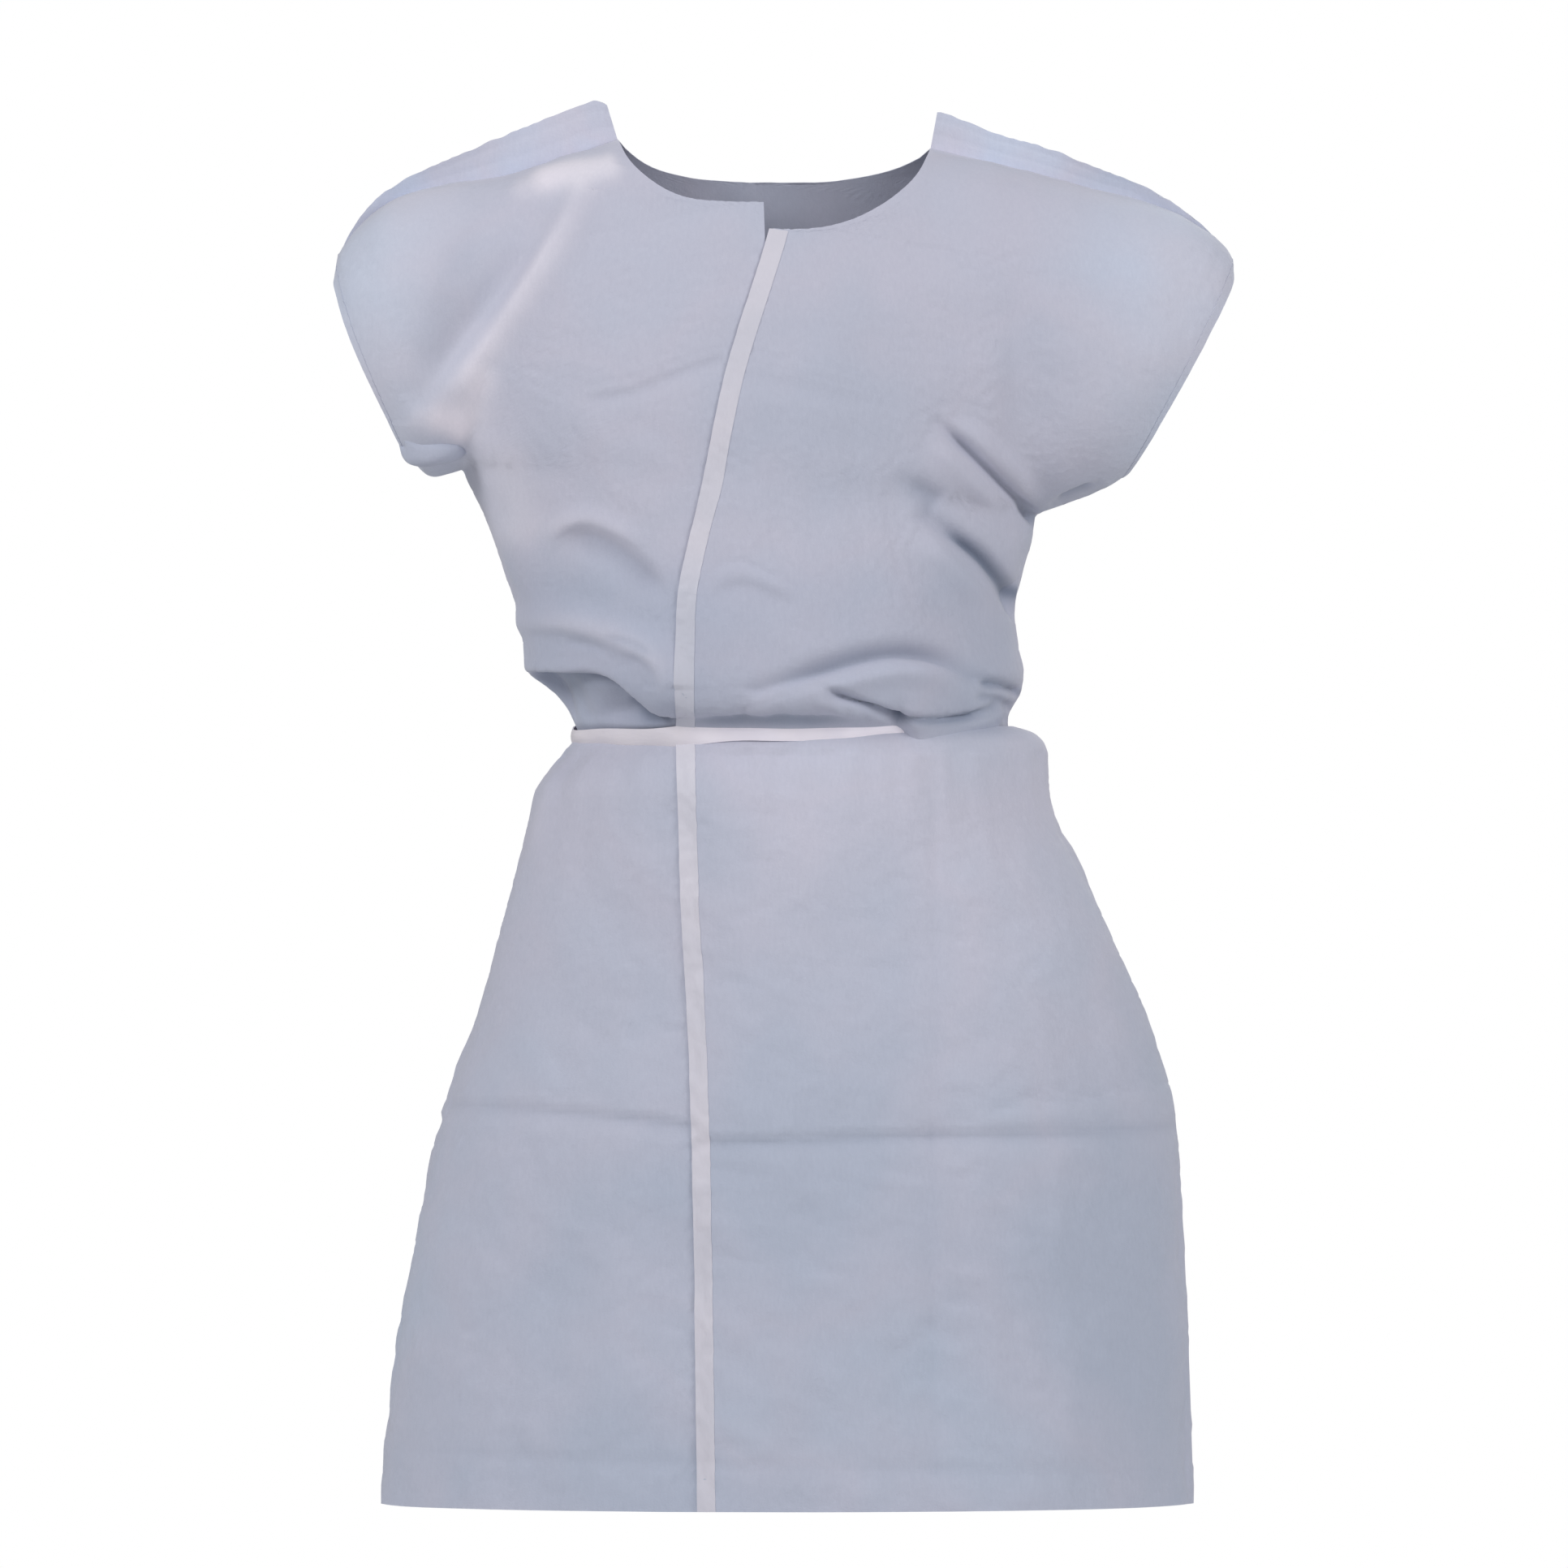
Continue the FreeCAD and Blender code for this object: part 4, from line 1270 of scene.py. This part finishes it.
def make_tail(side, material):
    """A free end of the belt, hanging from the knot."""
    low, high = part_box(f"{side}_belt_tail")
    sign = SIGN[side]
    start_x, outer_x = (low[0], high[0]) if side == "left" else (high[0], low[0])
    share = np.linspace(0, 1, 70)[:, None]
    across = np.linspace(0, 1, 7)[None]
    twist = 0.5 * np.sin(share * 5 + (0.4 if side == "left" else 1.7)) * share
    width = BELT_HEIGHT * 0.95
    end_x = outer_x - sign * width
    edge = start_x + (end_x - start_x) * share ** 1.1 + sign * 3 * MM * np.sin(share * 6) * share
    x = edge + sign * width * across * np.cos(twist)
    y_line = low[1] + (high[1] - low[1] - 2 * MM) * (0.9 * share + 0.1 * np.sin(share * 7) * share)
    y = y_line + 1.0 * MM + width * (across - 0.5) * np.sin(twist) * 0.6
    y = y + 0.6 * MM * np.sin(share * 23)
    top_z = high[2] + TAIL_TUCK
    z = top_z + (low[2] - top_z) * share
    grid = np.stack(np.broadcast_arrays(x, y, z), axis=-1)
    tail = grid_piece(f"{side}_tail_strip", grid, material, BACK)
    thicken(tail, TAIL_THICKNESS)
    return tail


def make_knot(material):
    """The knot: a soft bundle of wrapped film."""
    low, high = np.array(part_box("belt_knot"))
    centre = (low + high) / 2
    size = (high - low) / 2
    around = np.linspace(0, 2 * math.pi, 48, endpoint=False)[None]
    down = np.linspace(0.02, math.pi - 0.02, 30)[:, None]
    bulge = 1 + 0.08 * np.sin(down * 9 + around * 2) + 0.05 * np.sin(around * 6 - down * 3)
    x = centre[0] + size[0] * np.cos(down)
    y = centre[1] + size[1] * bulge * np.sin(down) ** 0.6 * np.cos(around)
    z = centre[2] + size[2] * bulge * np.sin(down) ** 0.6 * np.sin(around)
    grid = np.stack(np.broadcast_arrays(x, y, z), axis=-1)
    knot = grid_piece("knot_bundle", grid, material, closed=True)
    face_away(knot, read_points(knot) - centre)
    return knot


# Baked placement and flat size of the pieces


def blend_sleeve(piece):
    """Bakes a piece's placement into its points."""
    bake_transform(piece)


def blend_flap(piece):
    """Bakes a piece's placement into its points."""
    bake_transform(piece)


def flat_size(piece):
    """How far a panel reaches across and down in the front view, and its area, still thin."""
    points = read_points(piece)
    area = sum(face.area for face in piece.data.polygons)
    wide, _, long = points.max(0) - points.min(0)
    return wide, long, area


# Studio

# Each light's place, size and power
LIGHTS = {
    "right_key": ((-2.3, -1.7, 1.3), 1.2, 50),
    "left_key": ((2.4, -1.8, 1.1), 1.4, 41),
    "front_fill": ((0.3, -3.2, 0.2), 2.4, 10),
    "rear": ((0.6, 2.6, 1.2), 2.4, 30),
}
SURROUND = 0.36            # strength of the white surround as light; the camera sees it at 1
FLOOR_RADIUS = 1.6
FLOOR_DROP = 0.42          # from the hem


def studio():
    """A pale floor, a white surround and soft light."""
    world = bpy.data.worlds.new("studio")
    bpy.context.scene.world = world
    world.use_nodes = True
    nodes = world.node_tree.nodes
    links = world.node_tree.links
    seen = nodes.new("ShaderNodeBackground")
    seen.inputs["Color"].default_value = (1, 1, 1, 1)
    seen.inputs["Strength"].default_value = 1.0
    around = nodes["Background"]
    around.inputs["Color"].default_value = (1, 1, 1, 1)
    around.inputs["Strength"].default_value = SURROUND
    path = nodes.new("ShaderNodeLightPath")
    mix = nodes.new("ShaderNodeMixShader")
    links.new(path.outputs["Is Camera Ray"], mix.inputs["Fac"])
    links.new(around.outputs["Background"], mix.inputs[1])
    links.new(seen.outputs["Background"], mix.inputs[2])
    links.new(mix.outputs["Shader"], nodes["World Output"].inputs["Surface"])
    bpy.ops.mesh.primitive_circle_add(vertices=96, radius=FLOOR_RADIUS, fill_type="NGON",
                                      location=(0, 0, HEM_Z - FLOOR_DROP))
    floor = bpy.context.object
    floor.name = "studio_floor"
    paint = bpy.data.materials.new("studio_floor")
    paint.use_nodes = True
    paint.node_tree.nodes["Principled BSDF"].inputs["Base Color"].default_value = (0.9, 0.9, 0.9, 1)
    floor.data.materials.append(paint)
    for name, (place, size, power) in LIGHTS.items():
        area_light(name, place, size, power)


def area_light(name, place, size, power):
    """A square light that points at the middle of the gown."""
    data = bpy.data.lights.new(name, "AREA")
    data.size = size
    data.energy = power
    light = bpy.data.objects.new(name, data)
    light.location = place
    target = Vector((0, 0, HEM_Z / 2))
    light.rotation_euler = (target - Vector(place)).to_track_quat("-Z", "Y").to_euler()
    bpy.context.scene.collection.objects.link(light)


CAMERA_DISTANCE = 12.0
FRAME_WIDTH = 1.1206       # what the picture spans at the plane of the shoulder seams
PICTURE_CENTRE = (0.0075, -0.451)
SENSOR = 36.0


def camera():
    """A straight front view from far off."""
    data = bpy.data.cameras.new("camera")
    data.sensor_width = SENSOR
    data.lens = SENSOR * CAMERA_DISTANCE / FRAME_WIDTH
    eye = bpy.data.objects.new("camera", data)
    eye.location = (PICTURE_CENTRE[0], -CAMERA_DISTANCE, PICTURE_CENTRE[1])
    eye.rotation_euler = (math.pi / 2, 0, 0)
    bpy.context.scene.collection.objects.link(eye)
    bpy.context.scene.camera = eye
    bpy.context.scene.view_settings.view_transform = "Standard"


def make_pieces():
    """Every piece of the gown in its rest shape."""
    sheets, shapes, gown = main_sheets()
    pale = tape()
    film = belt_film()
    tapes = make_tapes(sheets, shapes, pale)
    hems = {side: make_hems(side, sheets, shapes, gown) for side in SIDES}
    seam = seam_tissue()
    flanges = {side: make_flange(side, seam) for side in SIDES}
    cuff = make_cuff(gown)
    for strip in [*tapes, *hems["right"], *hems["left"]]:
        thicken(strip, STRIP_THICKNESS)
    for piece in sheets.values():
        piece["cut"] = flat_size(piece)
        thicken(piece)
    belt = make_belt(film)
    knot = make_knot(film)
    tails = {side: make_tail(side, film) for side in SIDES}
    return SimpleNamespace(sheets=sheets, tapes=tapes, hems=hems, flanges=flanges, cuff=cuff,
                           belt=belt, knot=knot, tails=tails)


def set_movement(gown):
    """Bakes the placement of the sleeve and flap pieces, and hangs the rest under the empties of their
    bodies.
    """
    for side in SIDES:
        for piece in (gown.sheets[f"{side}_front"], gown.sheets[f"{side}_back"],
                      gown.flanges[side], *gown.hems[side]):
            blend_sleeve(piece)
        blend_flap(gown.sheets[f"{side}_skirt"])
        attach(gown.tails[side], f"{side}_tail")
    blend_sleeve(gown.cuff)
    blend_flap(gown.tapes[1])
    for piece in (gown.tapes[0], gown.sheets["back_skirt"], gown.belt, gown.knot):
        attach(piece, "root")


def set_replaced():
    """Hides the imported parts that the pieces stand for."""
    for side in SIDES:
        for word in ("front", "back"):
            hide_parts(f"{side}_{word}_yoke",
                        f"{side}_{word}_bodice", f"{side}_sleeve_{word}")
        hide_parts(f"{side}_front_skirt", f"{side}_skirt_flap")
        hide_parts(f"{side}_shoulder_seam", f"{side}_sleeve_seam")
        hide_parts(f"{side}_sleeve_hem")
        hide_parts(f"{side}_belt_tail")
    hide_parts("bodice_edge_tape")
    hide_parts("skirt_edge_tape")
    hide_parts("right_back_skirt", "left_back_skirt")
    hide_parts("waist_belt")
    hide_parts("belt_knot")


gown = make_pieces()
set_movement(gown)
set_replaced()
studio()
camera()
